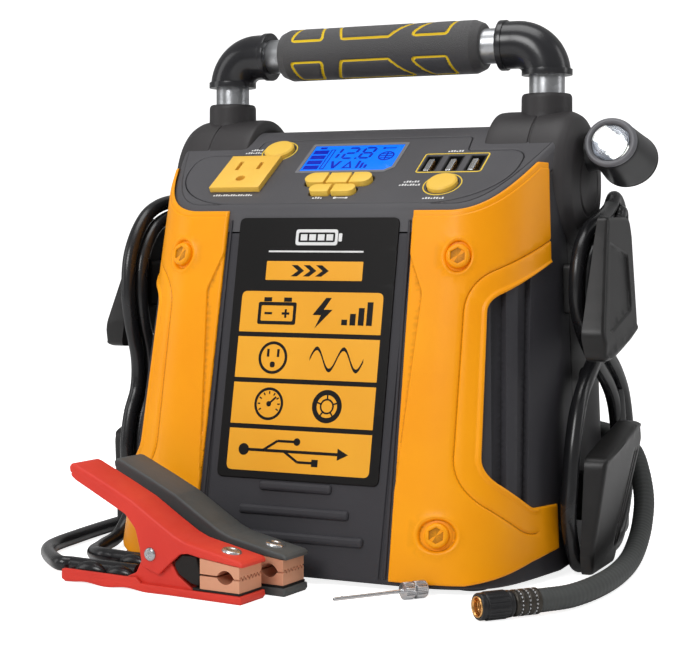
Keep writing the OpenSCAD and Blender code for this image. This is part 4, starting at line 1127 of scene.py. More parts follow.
def display():
    frame_outline = [(x + (1.5 if x > 0 else -1.5) + (0.8 if x > 22 else 0),
                      v + (1.5 if v > 50 else -1.5)) for x, v in LCD]
    mesh_obj("display_frame", [border_geo(rounded(frame_outline, 1.6, 4), 2.1)], "lcd_frame",
             "console_grey")
    panel("display_glass", rounded(LCD, 0.8, 3), con, "lcd_blue", replaces="lcd_window",
          height=0.02, edge=0.15, thick=1.8, step=8, ring=2)
    # level bars with their outline on the left
    ink = [rect(-26.3, 40.6 + i * 5.3, -17.6, 44.4 + i * 5.3) for i in range(4)]
    ink += [rect(-23.9, 61.8, -20.0, 63.6),
            (rect(-16.6, 40.6, -13.9, 61.0), [rect(-16.0, 41.2, -14.5, 60.4)])]
    for segments, x in (("bc", -17.2), ("abged", -7.4), ("abcdefg", 2.6)):
        ink += digit(segments, x, 51.6)
    ink.append(circle(1.0, 51.4, 0.8, 12))
    # V, A and falling bars under the digits
    ink += [[(-12, 48.6), (-10.4, 48.6), (-8.8, 43.6), (-7.2, 48.6), (-5.6, 48.6), (-8.0, 41.2),
             (-9.6, 41.2)],
            ([(-3.6, 41.2), (2.4, 41.2), (-0.6, 48.8)],
             [[(-2.2, 42.0), (1.0, 42.0), (-0.6, 46.2)]]),
            rect(4.4, 41.2, 5.8, 48.6), rect(6.8, 41.2, 8.2, 46.6), rect(9.2, 41.2, 10.6, 44.6)]
    # crossed ring on the right, with a dotted stroke above
    ink += [(circle(18.4, 53.4, 4.6, 30), [circle(18.4, 53.4, 3.7, 30)]),
            rect(15.0, 53.0, 21.8, 53.8), rect(18.0, 50.0, 18.8, 56.8),
            rect(15.6, 51.0, 21.2, 51.6), rect(15.6, 55.2, 21.2, 55.8),
            bar(14.6, 61.6, 21.6, 61.6, 0.7), circle(14.6, 61.6, 0.9, 12)]
    decal("display_segments", ink, con, "lcd_ink", "lcd_blue", h=0.14, thick=0.05, ring=0.9,
          edge=0.04)


def ticks(x, v, n, w=1.0, tall=1.7, gap=0.5):
    """row of small marks of two heights"""
    return [rect(x + i * (w + gap), v, x + i * (w + gap) + w,
                 v + tall * (0.6 + 0.4 * ((i * 7) % 3 > 0))) for i in range(n)]


def console_prints():
    """yellow outlines round the two round buttons and the ports, and white marks"""
    outlines = [border_geo(circle(x, v, 10.5, 60), 0.75, h=0.16)
                for x, v in ((X_AC, V_AC), (X_JUMP, V_JUMP))]
    outlines.append(border_geo(rounded(block(X_PORTS, V_PORTS, 18.3, 9.7), 2.2, 5), 0.8, h=0.2))
    mesh_obj("console_outlines", outlines, "print_yellow", "button_yellow")
    marks = []
    for row in ((-66.6, V_AC + 1.2, 5), (-69, V_AC - 1.8, 7), (-69, V_OUTLET - 20.6, 16),
                (53, V_PORTS + 11.1, 6), (38.2, V_JUMP + 2.2, 6), (36.6, V_JUMP - 0.9, 8),
                (54, V_JUMP - 14.0, 8)):
        marks += ticks(*row)
    marks += [bar(-14, 35.2, -11, 35.2, 0.6), *ticks(-0.8, 34.6, 3),
              bar(12.4, 35.2, 15.4, 35.2, 0.6), bar(13.9, 33.9, 13.9, 36.5, 0.6),
              *ticks(-8.4, 10.6, 4), bar(4.4, 11.2, 11.2, 11.2, 0.6),
              circle(4.4, 11.2, 0.9, 12), rect(10.4, 10.5, 11.8, 11.9)]
    decal("console_marks", marks, con, "print_white", "console_grey", h=0.1, thick=0.05,
          ring=1.0, edge=0.04)


def port_wells():
    """each port: black sleeve and bottom, steel tongue, four brass contacts"""
    parts = []
    v = V_PORTS
    for x in PORT_XS:
        def add_part(kind, outer, height, edge, thick, ring=2, holes=()):
            parts.append(panel_geo(outer, con, holes=holes, height=height, edge=edge,
                                   thick=thick, ring=ring, step=9) + (kind,))
        add_part(0, rounded(block(x, v, 4.25, 7.65), 0.8, 3), height=-0.25, edge=0.3, thick=7,
                 holes=[block(x, v, 3.6, 7.0)])
        add_part(0, block(x, v, 3.7, 7.1), height=-6.2, edge=0.1, thick=7.5, ring=3)
        add_part(1, rounded(rect(x - 2.9, v - 6.0, x + 0.2, v + 5.4), 0.3, 2), height=-0.7,
                 edge=0.25, thick=6.6)
        for k in range(4):
            add_part(2, rect(x + 0.2, v - 4.7 + k * 2.6, x + 0.6, v - 3.4 + k * 2.6),
                     height=-1.3, edge=0.05, thick=5)
    mesh_obj("port_wells", parts, ["port_black", "steel", "brass"], "black_plastic",
             replaces="usb_ports")


# ------------------------------------------------------------------ shoulders and grip
GRIP_Y, GRIP_Z, GRIP_END = 14.9, 275.9, 60.5


def shoulders():
    """round shoulders lying along X, each with a collar for the handle post"""
    drum = fillet([
        (28, 70.6), (31.0, 69.2), (35.2, 70.6), (35.6, 74.5), (35.6, 94.0), (35.0, 94.3),
        (35.0, 95.1), (35.6, 95.4), (35.6, 106.4), (35.0, 110.4), (33.0, 114.6), (28.0, 117.8),
        (17.0, 119.0), (16.3, 118.4), (15.4, 118.4), (14.8, 119.2), (0.01, 119.2)], 1.4, 4)
    collar = fillet([(16.4, 229), (15.2, 233.0), (13.9, 235.6), (13.6, 238), (13.5, 247.4),
                     (12.6, 249), (9.8, 249), (9.6, 248)], 1.4, 4)
    pivot = fillet([(0.01, 127.4), (5.0, 127.4), (5.0, 119), (7.6, 118.2)], 0.6)
    # the upper half of the drum is stretched
    both = [placed(revolve(drum, 96),
                   lambda a, b, t: (t, 15 + a, 200 + b * np.where(b > 0, 1.12, 1.0))),
            placed(revolve(collar, 64), lambda a, b, t: (95.4 + a, GRIP_Y + b, t))]
    lamp_pivot = placed(revolve(pivot, 40), along_x(15.5, 217.5))
    for side, parts in (("right", both + [lamp_pivot]), ("left", [flipped(p) for p in both])):
        mesh_obj("shoulder_" + side, parts, "shoulder_dark", "console_grey",
                 replaces="shoulder_cap_" + side, angle=50, weld=0.001)


def grip_pads(near, far):
    """three pads (x, degrees round the bar) between the angles near and far"""
    return [[(-51.1, near), (-31.6, near), (-34.3, far), (-47.5, far)],
            [(-19.8, near), (8.6, near), (22.7, far), (-24.5, far)],
            [(21.5, near), (42.8, near), (46.3, far), (32.8, far)]]


def grip():
    """bar along X, angles from the front over the top; pads edged by yellow grooves"""
    x = np.linspace(-GRIP_END, GRIP_END, 343)
    angles = np.arange(0, 360, 1.6)
    X, A = np.meshgrid(x, angles, indexing="ij")
    k = math.radians(1) * 14.75                            # mm of surface to a degree
    P = np.stack([X.ravel(), A.ravel() * k], 1)
    in_pad = np.zeros(len(P), bool)
    dist = np.full(len(P), 99.0)
    for near, far in ((27, 84), (-23, -80), (153, 96), (-157, -100)):
        for pad in grip_pads(near, far):
            for turn in (0, 360 * k, -360 * k):
                shape = rounded([(px, a * k + turn) for px, a in pad], 2.0, 4)
                dist = np.minimum(dist, dist_poly(P, shape))
                in_pad |= inside(P, shape)
    e = GRIP_END
    radius = np.interp(X.ravel(), [-e, -e + 0.4, -e + 5, e - 5, e - 0.4, e],
                       [12.2, 12.7, 14.55, 14.55, 12.7, 12.2])
    radius = (radius - 0.75 * np.exp(-(dist / 0.75) ** 2)
              + np.where(in_pad, 0.2 * smooth01((dist - 0.8) / 1.5), 0.0))
    R = radius.reshape(X.shape)
    yellow = (dist < 0.95).reshape(X.shape)
    V = np.stack([X, GRIP_Y - R * np.cos(np.radians(A)), GRIP_Z + R * np.sin(np.radians(A))],
                 -1).reshape(-1, 3)
    n, m = X.shape
    faces = {0: [], 1: []}                                 # rubber, yellow
    order = []
    for i in range(n - 1):
        for j in range(m):
            jj = (j + 1) % m
            kind = 1 if yellow[i, j] and yellow[i + 1, jj] else 0
            faces[kind].append((i * m + j, i * m + jj, (i + 1) * m + jj, (i + 1) * m + j))
            order.append((kind, faces[kind][-1]))
    for i, end in ((0, -e + 0.3), (n - 1, e - 0.3)):       # end rings down to the tube
        b = len(V)
        V = np.vstack([V, [(end, GRIP_Y - 9.6 * math.cos(a), GRIP_Z + 9.6 * math.sin(a))
                           for a in np.radians(angles)]])
        for j in range(m):
            jj = (j + 1) % m
            order.append((0, (i * m + j, i * m + jj, b + jj, b + j)))
    return V, order


def grip_obj():
    V, order = grip()
    # runs of one material, all on the same vertices: only the first part carries them
    parts = [(V, [], 0)]
    for kind, face in order:
        parts.append((np.zeros((0, 3)), [tuple(i - len(V) for i in face)], kind))
    mesh_obj("grip", parts, ["grip_rubber", "grip_yellow"], replaces="handle_grip", angle=70)


# ------------------------------------------------------------------ lamp
LAMP_AT = (135, 15.5, 217.5)
LAMP_C, LAMP_S = math.cos(math.radians(12)), math.sin(math.radians(12))


def lamp_map(a, b, t):
    """lamp frame: a across, b up, t back along its axis; its outer half is wider"""
    a = a * np.where(np.asarray(a) > 0, 1.12, 1.0)
    return (LAMP_AT[0] + a, LAMP_AT[1] + t * LAMP_C + b * LAMP_S,
            LAMP_AT[2] - t * LAMP_S + b * LAMP_C)


def lamp_mirror(n=60):
    """bowl (r, t) with shallow facets"""
    bowl = [(9.4, -17.2), (8.9, -15.6), (7.9, -13.4), (6.6, -11.2), (5.0, -9.3), (3.2, -8.0),
            (1.6, -7.4)]
    V = []
    for k, (r, t) in enumerate(bowl):
        for i in range(n):
            a = 2 * math.pi * i / n
            facet = r * (1 + 0.006 * math.cos(10 * a + k * 1.3))
            V.append((facet * math.cos(a), facet * math.sin(a), t))
    return V, ring_faces(len(bowl), n)


def lamp():
    shell = fillet([(10.9, -16.9), (12.7, -17.0), (13.0, -15.0), (14.0, 4.0), (14.7, 15.0),
                    (14.5, 19.6), (12.4, 23.4), (9.4, 24.6), (0.01, 24.9)], 3.0, 5)
    stub = fillet([(10.6, -16.4), (10.4, -14.8), (9.6, -10.5), (9.6, -8.6)], 0.5)
    seam = [(14.62, 16.6), (14.86, 17.0), (14.86, 17.8), (14.6, 18.2)]
    bezel = fillet([(9.55, -17.2), (9.55, -18.9), (10.3, -20.6), (11.9, -20.9), (13.0, -19.8),
                    (13.05, -18.4), (12.5, -17.9), (12.5, -17.2)], 0.7, 4)
    bulb = [(0.01, -12.6), (1.0, -12.4), (1.7, -11.6), (1.9, -10.4), (1.9, -7.0)]
    stub_map = along_x(LAMP_AT[1], LAMP_AT[2], LAMP_AT[0])
    mesh_obj("lamp_body", [placed(revolve(shell, 72), lamp_map),
                           placed(revolve(stub, 48), stub_map),
                           placed(revolve(seam, 72), lamp_map)],
             "black_plastic", body="lamp", replaces="lamp_shell", angle=45)
    mesh_obj("lamp_ring", [placed(revolve(bezel, 72), lamp_map)], "bezel_grey", "black_plastic",
             body="lamp", replaces="lamp_bezel", angle=45)
    mesh_obj("lamp_mirror", [placed(lamp_mirror(), lamp_map)], "reflector", body="lamp",
             replaces="lamp_reflector", angle=20)
    mesh_obj("lamp_led", [placed(revolve(bulb, 28), lamp_map)], "led_white", "reflector",
             body="lamp")


# ------------------------------------------------------------------ cleats
CLEAT = rounded([(-18, 183), (-23, 173), (-45, 125), (-44, 111), (-33, 110.5), (20, 124.5),
                 (26, 173), (24, 183)], [4, 4, 9, 5, 5, 7, 8, 5], 5)             # y, z
CLEAT_RECESS = rounded([(-18.5, 170.5), (13.5, 164), (11.5, 134.5), (-38.5, 122.5)],
                       [2, 3, 6, 6], 4)
CLEAT_SLOTS = [[(-38.0 + dy, 127), (-18.5 + dy, 171)] for dy in (0.0, 4.0)]


def cleat_x(z):
    """outer face in profile"""
    return np.interp(z, [110.5, 112.5, 120, 126, 170, 183], [143.5, 145.6, 146, 145, 140.3, 139])


def recess_height(P):
    d = dist_poly(P, CLEAT_RECESS)
    return -1.5 * np.where(inside(P, CLEAT_RECESS), smooth01(d / 1.6), 0.0)


def slots_height(P):
    h = np.zeros(len(P))
    for slot in CLEAT_SLOTS:
        h -= 0.9 * np.exp(-(dist_poly(P, slot, False) / 0.9) ** 2)
    line = P[:, 1] - (133 + (26 - P[:, 0]) * -0.4)
    return h - 1.1 * smooth01(-line / 9.0) * (P[:, 0] > -10)


def cleat_parts(relief, lines):
    """plate with a lip along its lower edge, and a foot to the case side"""
    def height(P):
        edge = dist_poly(P, [(-45, 110.8), (20, 124.6)])
        return relief(P) + smooth01((3.0 - edge) / 2.0) * 0.9
    V, F = panel_geo(CLEAT, lambda y, z, h: (cleat_x(z) + h, y, z), lines=lines, height=height,
                     edge=2.0, thick=8.0, step=3.2, ring=1.4)
    outer = cleat_x(V[:, 2])
    inner = 133.4 + np.clip((122 - V[:, 2]) / 12, 0, 1) * 2.4
    back = V[:, 0] < outer - 7.5
    V[back, 0] = np.minimum(inner[back], outer[back] - 3.0)
    foot = panel_geo(rounded(rect(-15, 133, 3, 159), 2.5, 4),
                     lambda y, z, h: (134.5 + h, y, z), edge=0.2, thick=20, step=7, ring=2)
    return [(V, F), foot]


def cleats():
    upper = cleat_parts(recess_height, [(CLEAT_RECESS, True)])
    lower = cleat_parts(slots_height, [(slot, False) for slot in CLEAT_SLOTS])
    # the lower cleat is turned half round
    lower = [placed(p, lambda x, y, z: (x, -18 - y, 186 - z)) for p in lower]
    for level, node, parts in (("top", "upper", upper), ("bottom", "lower", lower)):
        for side, made in (("right", parts), ("left", [flipped(p) for p in parts])):
            mesh_obj(f"cleat_{level}_{side}", made, "cleat_black",
                     replaces=f"cleat_{node}_{side}", angle=40, weld=0.001)


# ------------------------------------------------------------------ cables
CABLE_R = 3.9
CABLE_FLOOR = 4.1                    # least height of a cable's middle
CLAMP_C, CLAMP_S = math.cos(math.radians(5.71)), math.sin(math.radians(5.71))
RED_SHIFT, BLACK_SHIFT = (0, 0), (10.5, 24.8)
# windings round the cleats (y, z)
RIGHT_WIND = [
    (46, 194), (36, 188.5), (24, 184.5), (12, 181.5), (-4, 176.5), (-16, 167), (-21.5, 153),
    (-20, 137), (-8, 122), (12, 107), (34, 94), (48, 80), (56, 58), (55, 34), (42, 14), (18, 7),
    (-9, 6), (-24, 13), (-36, 32), (-34, 50), (-30, 69), (-20, 87), (2, 102), (30, 118),
    (46, 138), (57, 162), (58, 186)]
LEFT_WIND = [
    (24, 184), (-2, 185), (-24, 178), (-38, 162), (-42, 144), (-40, 127), (-33, 106), (-33, 86),
    (-40, 70), (-43, 52), (-38, 30), (-24, 12), (4, 7), (34, 10), (52, 30), (54, 58), (44, 82),
    (42, 106), (50, 130), (52, 156), (42, 176)]
# free runs to the clamps (x, y, z)
RIGHT_TAIL = [
    (126.3, 48, 90), (126.3, 56, 58), (126, 62, 20), (118, 78, 5.5), (90, 86, 4.2), (0, 88, 4.2),
    (-110, 86, 4.2), (-145, 70, 4.2), (-155, 35, 4.2), (-156, -10, 4.2), (-154, -60, 4.2),
    (-147, -100, 4.4)]
LEFT_TAIL = [(-127, -40, 72), (-127, -44, 28), (-128, -58, 8), (-125, -80, 4.4),
             (-118, -100, 4.8)]


def clamp_map(dx, dy):
    """clamp frame: s along the clamp to its jaws, w across it, z up"""
    return lambda s, w, z: (2.2 + dx + s * CLAMP_C + w * CLAMP_S,
                            -162.1 + dy - s * CLAMP_S + w * CLAMP_C, z)


def above_floor(path):
    path[:, 2] = np.maximum(path[:, 2], CABLE_FLOOR)
    return path


def winding(side, pts, x, shift):
    """closed strand at distance x from the middle, moved by shift across its run"""
    n = len(pts)
    P = []
    for i, (y, z) in enumerate(pts):
        before, after = pts[i - 1], pts[(i + 1) % n]
        t = np.array([after[0] - before[0], after[1] - before[1]], float)
        t /= np.linalg.norm(t)
        P.append((side * (x + 0.6 * math.sin(2 * math.pi * 3 * i / n)), y + t[1] * shift,
                  max(4.2, z - t[0] * shift)))
    Q = above_floor(spline(P[-2:] + P + P[:2], 8))
    return Q[16:len(Q) - 8]


def cable(name, side, replaces, pts, tail, clamp_shift, start_z):
    clamp = clamp_map(*clamp_shift)
    tail = tail + [clamp(s, 10.5, z) for s, z in
                   ((-118, 7.2), (-107, 6.9), (-90, 6.9), (-66, 7.2))]
    start = [(side * 118, 8.2, start_z), (side * 119.8, 8.1, start_z),
             (side * 121.7, 10, start_z + 2), (side * 124.8, 16, start_z + 8)]
    paths = [spline(start, 8), winding(side, pts, 124.2, 0.0),
             winding(side, pts, 127.4, -7.9 * side), above_floor(spline(tail))]
    mesh_obj(name, [sweep(path, CABLE_R) for path in paths], "cable_black", replaces=replaces,
             angle=60)


def cables():
    cable("cable_left", -1, "black_cable", LEFT_WIND, LEFT_TAIL, BLACK_SHIFT, 96)
    cable("cable_right", 1, "red_cable", RIGHT_WIND, RIGHT_TAIL, RED_SHIFT, 100)


# ------------------------------------------------------------------ hose, chuck and needle
HOSE_C, HOSE_S = math.cos(math.radians(49.4)), math.sin(math.radians(49.4))
CHUCK_AT = np.array([115.9, -145, 6.8])
NEEDLE_C, NEEDLE_S = math.cos(math.radians(53.1)), math.sin(math.radians(53.1))


def chuck_map(a, b, t):
    """chuck frame: a across, b up, t from the mouth along the hose"""
    return (CHUCK_AT[0] + t * HOSE_C - a * HOSE_S, CHUCK_AT[1] + t * HOSE_S + a * HOSE_C,
            CHUCK_AT[2] + b)


def needle_map(a, b, t):
    """needle frame: a across, b up, t from its tip"""
    return (46 + t * NEEDLE_C - a * NEEDLE_S, -148.6 + t * NEEDLE_S + a * NEEDLE_C, 4.4 + b)


def hose():
    along = np.array([HOSE_C, HOSE_S, 0])
    path = spline([
        CHUCK_AT + 29.5 * along, CHUCK_AT + 36 * along, (146.5, -101, 6), (151.3, -75, 5.8),
        (152.5, -45, 6), (151, -15, 7.5), (149, 8, 12.5), (147.2, 24, 20), (145, 36, 31),
        (140, 47, 43), (132, 61, 53), (119, 76, 59), (106, 80, 62), (98.5, 74, 62),
        (97.5, 64.3, 62)], 26)
    radii = [5.5 + 0.07 * math.cos(i * 1.6) for i in range(len(path))]
    mesh_obj("hose", [sweep(path, radii, 28)], "hose_rubber", replaces="air_hose", angle=60)


def hose_crimp():
    """ferrule with three rings of small steel dots"""
    ferrule = fillet([
        (1.3, 12.8), (3.0, 12.9), (3.0, 17.3), (5.4, 17.5), (6.2, 18.2), (6.2, 19.6),
        (5.75, 20.2), (5.75, 21.0), (6.2, 21.5), (6.2, 23.4), (5.75, 24.0), (5.75, 24.8),
        (6.2, 25.3), (6.2, 27.2), (5.75, 27.8), (5.75, 28.6), (6.2, 29.1), (6.2, 30.6),
        (5.7, 31.2), (5.4, 31.2)], 0.25, 2)
    dot = revolve([(0.01, 0.55), (0.35, 0.45), (0.55, 0.0), (0.55, -0.4)], 8)
    parts = [placed(revolve(ferrule, 72), chuck_map)]
    for t in (20.6, 24.4, 28.2):
        for i in range(20):
            c, s = math.cos(2 * math.pi * i / 20), math.sin(2 * math.pi * i / 20)
            parts.append(placed(dot, lambda p, q, h: chuck_map(
                (5.75 + h) * c - p * s, (5.75 + h) * s + p * c, t + q), kind=1))
    mesh_obj("hose_crimp", parts, ["crimp_steel", "steel"], replaces="hose_ferrule", angle=40)


def chuck():
    """ribbed sleeve and threaded brass mouth with its pin"""
    def ribbed(r, t, a):
        if 3.5 < t < 14.1 and r > 6.1:
            return r + 0.36 * (0.5 + 0.5 * math.tanh(3.2 * math.sin(20 * a)))
        return r
    sleeve = fillet([
        (5.1, 0.05), (5.9, 0.0), (6.3, 0.8), (6.3, 2.2), (6.0, 2.6), (6.0, 3.2), (6.3, 3.6),
        (6.3, 14.0), (6.0, 14.4), (6.0, 15.0), (6.3, 15.4), (6.2, 16.6), (5.6, 17.2),
        (5.1, 17.2)], 0.25, 2)
    mouth = fillet([
        (3.9, 11.4), (3.9, 6.0), (3.6, 5.7), (3.9, 5.4), (3.6, 5.0), (3.9, 4.6), (3.6, 4.2),
        (3.9, 3.8), (3.6, 3.4), (3.9, 3.0), (3.6, 2.6), (3.9, 2.2), (4.0, 0.6), (4.4, -0.4),
        (4.8, -0.4), (5.0, 0.2), (5.0, 16.6), (3.2, 16.8)], 0.12, 2)
    pin = fillet([(0.01, 3.2), (0.8, 3.2), (0.9, 4.0), (1.5, 4.2), (1.5, 9.6), (3.7, 9.9)], 0.2, 2)
    mesh_obj("chuck_grip", [placed(revolve(sleeve, 144, ribbed), chuck_map)], "black_plastic",
             body="chuck", replaces="chuck_sleeve")
    mesh_obj("chuck_mouth", [placed(revolve(mouth, 64), chuck_map),
                             placed(revolve(pin, 32), chuck_map)],
             "brass", body="chuck", replaces="chuck_nut", angle=40)


def needle():
    """long tube with a thin black disc painted as the shade of its side hole, and a knurled head
    with a groove
    """
    def knurled(r, t, a):
        return r - (0.22 * (0.5 + 0.5 * math.sin(30 * a)) if r > 4.1 else 0)
    profile = fillet([
        (0.45, 0.6), (0.45, 0.0), (0.7, 0.0), (0.9, 0.5), (0.9, 36.0), (1.5, 37.2), (4.2, 37.6),
        (4.3, 42.2), (3.6, 42.4), (3.6, 43.5), (4.3, 43.7), (4.3, 49.2), (3.9, 49.7),
        (1.6, 49.8), (1.5, 48.0), (0.45, 47.8)], 0.2, 2)
    # the side hole is a thin black disc on the tube: painted shade in place of a real hole
    hole = revolve([(0.01, 0.06), (0.38, 0.06), (0.42, 0.0)], 16)
    parts = [placed(revolve(profile, 120, knurled), needle_map),
             placed(hole, lambda p, q, h: needle_map(q, 0.9 + h, 4.5 + p * 1.5), kind=1)]
    mesh_obj("needle_body", parts, ["steel", "port_black"],
             body=BODY.get("ball_needle", "needle"), replaces="ball_needle")


# ------------------------------------------------------------------ battery clamps
CLAMP_W = 21                         # width over both cheeks
PIN_S, PIN_Z = -50.7, 19.3
# profiles (s, z) with their corner radii
ARM_TOP = [(-101, 58.5), (-99.5, 60.5), (-97, 60), (-78, 51.8), (-62, 44.5), (-47, 35.5),
           (-36, 29.2), (-30, 26.8), (1.5, 20.6), (3, 19.4), (3, 17.7), (-22, 20.3),
           (-33, 22.2), (-40, 27.5), (-62, 40.5), (-97, 55.4), (-100.5, 55.6)]
ARM_TOP_R = [1.6, 2, 3, 8, 8, 8, 8, 8, 1.5, 1, 1, 3, 6, 8, 8, 2, 1]
CHEEK = [(-98, 58), (-62, 42.8), (-36, 28), (-22, 22.4), (-33, 21), (-39, 16), (-46, 9.6),
         (-56, 13), (-57.5, 22), (-60, 31), (-66, 37.5), (-97, 52), (-100.5, 54.5)]
CHEEK_R = [1, 6, 6, 2, 3, 3, 2, 3, 3, 6, 6, 2, 2]
ARM_BASE = [(-106.7, 5.6), (-106.7, 1.6), (-104.4, 0.2),
            *[(s, 0.55 + 0.55 * math.cos((s + 66) / 13 * math.pi))     # wavy underside
              for s in np.linspace(-98, -52, 24)],
            (-40, 0.2), (1.5, 0.0), (2.6, 1.6), (2.2, 4.2), (-22, 4.2), (-60, 4.4),
            (-104.8, 4.2)]
SIDE_LIP = [(-106.4, 6.6), (-106.4, 2.4), (-62, 2.4), (-56, 3.6), (-60, 7.0), (-66, 6.8),
            (-104.4, 6.9)]
SIDE_LIP_R = [1.5, 1, 1, 1, 1.5, 1.5, 1.5]
EAR = [(-68, 3), (-68, 6), (-61, 9), (-57.5, 16), (-56.5, 24), (-52, 27.3), (-46, 26), (-41, 18),
       (-36, 10), (-27, 4), (-27, 2)]
EAR_R = [0.5, 2, 3, 3, 3, 3, 3, 4, 4, 3, 0.5]
PACKING = [(-24.6, 20.4), (-33, 20.6), (-38.2, 15.6), (-34.5, 10.6), (-27.5, 7.0), (-23.2, 6.2),
           (-22.1, 12)]
PACKING_R = [1, 2, 3, 3, 2, 1, 1]
LINER = [(-26, 4.3), (-26, 5.6), (-22, 5.3), (1.2, 5.3), (1.2, 4.3)]
# lobes in the handle: middle s, half length, w, radius
LOBES = ((-93, 10, 7.0, 4.0), (-80, 9, 13.0, 3.8), (-74, 9, 6.6, 3.6))


def plate(clamp, poly, w0, w1, r, edge=0.9, n=4, ring=1.5):
    """profile given its width from w0 to w1, rounded on both faces"""
    mid, half = (w0 + w1) / 2, (w1 - w0) / 2
    return [panel_geo(rounded(poly, r, n), lambda s, z, h: clamp(s, mid + face * (half + h), z),
                      edge=edge, thick=half, ring=ring, step=4.0) for face in (-1, 1)]


def jaw(clamp, sign, far_z):
    """block from the toothed parting line to far_z(s), with an eye; sign is 1 for the upper"""
    ws = np.linspace(1, 20, 77)
    ss = np.concatenate([np.linspace(-22, -12.6, 6), np.linspace(-12.0, -2.8, 27),
                         np.linspace(-2.2, 0.7, 5)])

    def parting(s, w):
        tooth = 12.1 + 0.95 * (2 * abs((w * 0.36) % 1 - 0.5) * 2 - 1)
        eye = max(0.0, 1 - ((s + 7.4) / 4.6) ** 2) ** 0.8
        return (tooth if s > -2.6 else 12.15) + sign * 0.42 + sign * 2.9 * eye
    V = [(s, w, parting(s, w)) for w in ws for s in ss]
    V += [(s, w, far_z(s)) for w in ws for s in ss]
    m, k = len(ws), len(ss)
    far = m * k
    F = []
    for i in range(m - 1):
        for j in range(k - 1):
            a = i * k + j
            F += [(a, a + 1, a + k + 1, a + k),
                  (far + a, far + a + k, far + a + k + 1, far + a + 1)]
    for i in range(m - 1):
        for j in (0, k - 1):
            a = i * k + j
            F.append((a, a + k, far + a + k, far + a))
    for j in range(k - 1):
        for i in (0, m - 1):
            a = i * k + j
            F.append((a, a + 1, far + a + 1, far + a))
    return placed((V, F), clamp)


def clamp_arms(tag, clamp, mat, jaw_body):
    """upper arm: sloping top and deep cheeks; lower arm: flat handle, lips and pivot ears"""
    upper = plate(clamp, ARM_TOP, 0, CLAMP_W, ARM_TOP_R, edge=1.1)
    for w0, w1 in ((0.05, 2.3), (18.7, 20.95)):
        upper += plate(clamp, CHEEK, w0, w1, CHEEK_R, edge=0.7)
    mesh_obj(tag + "_clamp_upper", upper, mat, body=jaw_body, replaces=tag + "_upper_arm",
             angle=45)
    lower = plate(clamp, ARM_BASE, 0, CLAMP_W, 0.5, n=2, ring=1.8)
    for w0, w1 in ((0.05, 2.0), (19.0, 20.95)):
        lower += plate(clamp, SIDE_LIP, w0, w1, SIDE_LIP_R, edge=0.5)
    for w0, w1 in ((2.35, 4.2), (16.8, 18.65)):
        lower += plate(clamp, EAR, w0, w1, EAR_R, edge=0.4)
    mesh_obj(tag + "_clamp_lower", lower, mat, replaces=tag + "_lower_arm", angle=45)


def clamp_jaws(tag, clamp, mat, jaw_body):
    """copper jaws, the liner under the lower one and the packing behind both"""
    upper = jaw(clamp, 1, lambda s: 17.75 - (s - 0.7) * 0.103)
    mesh_obj(tag + "_jaw_upper", [upper], "copper", body=jaw_body, replaces=tag + "_upper_jaw",
             angle=32, bevel=0.25)
    mesh_obj(tag + "_jaw_lower", [jaw(clamp, -1, lambda s: 5.3)], "copper",
             replaces=tag + "_lower_jaw", angle=32, bevel=0.25)
    mesh_obj(tag + "_liner", plate(clamp, LINER, 0.5, 20.5, 0.3, edge=0.3), "insert_black", mat)
    mesh_obj(tag + "_packing", plate(clamp, PACKING, 1.6, 19.4, PACKING_R, edge=0.8),
             "insert_black", mat, body=jaw_body)


def clamp_rivets(tag, clamp, jaw_body):
    """pivot pin with domed ends, and the rivet on the sloping nose"""
    dome = revolve(fillet([(0.01, 1.3), (1.2, 1.0), (1.5, 1.2), (2.6, 1.15), (3.3, 0.5),
                           (3.4, 0.0)], 0.5, 3), 40)
    shaft = revolve([(2.45, -0.4), (2.45, 21.4)], 32)
    mesh_obj(tag + "_pivot", [
        placed(dome, lambda a, b, t: clamp(PIN_S + a, -t, PIN_Z + b)),
        placed(dome, lambda a, b, t: clamp(PIN_S + a, CLAMP_W + t, PIN_Z + b)),
        placed(shaft, lambda a, b, t: clamp(PIN_S + a, t, PIN_Z + b))],
        "steel", replaces=tag + "_pivot_pin", angle=40)
    nose = revolve(fillet([(0.01, 0.7), (2.0, 0.7), (2.6, 1.2), (3.6, 1.3), (4.7, 0.8),
                           (5.0, 0.1), (5.0, -0.4)], 0.5, 3), 40)
    slope = math.atan2(-6.2, 31.5)
    c, s = math.cos(slope), math.sin(slope)
    mesh_obj(tag + "_nose_rivet", [placed(nose, lambda a, b, t: clamp(
        -10 + a * c - t * s, CLAMP_W / 2 + b, 22.9 + a * s + t * c))],
        "steel", body=jaw_body, angle=40)


def clamp_spring(tag, clamp, turns=6, radius=5.2):
    """torsion spring wound on the pivot"""
    full = 2 * math.pi * turns
    path = [clamp(PIN_S + radius * math.cos(a), 5.4 + 10.2 * a / full,
                  PIN_Z + radius * math.sin(a)) for a in np.linspace(0, full, 150)]
    mesh_obj(tag + "_torsion_spring", [sweep(path, 0.75, 10)], "steel",
             replaces=tag + "_spring", angle=60)


def clamp_lobes(tag, clamp):
    """glossy lobes of the cable's end in the handle"""
    steps = np.linspace(-1, 1, 17)
    parts = []
    for s, half, w, r in LOBES:
        path = [clamp(s + half * t, w, 5.4 + 1.2 * math.sin(math.pi * (t + 1) / 2))
                for t in steps]
        radii = [max(0.05, r * math.sqrt(max(0.0, 1 - t * t))) for t in steps]
        parts.append(sweep(path, radii, 18))
    mesh_obj(tag + "_handle_lobes", parts, "cable_black", angle=60)


def battery_clamp(tag, shift):
    clamp, mat, jaw_body = clamp_map(*shift), "clamp_" + tag, tag + "_jaw"
    clamp_arms(tag, clamp, mat, jaw_body)
    clamp_jaws(tag, clamp, mat, jaw_body)
    clamp_rivets(tag, clamp, jaw_body)
    clamp_spring(tag, clamp)
    clamp_lobes(tag, clamp)


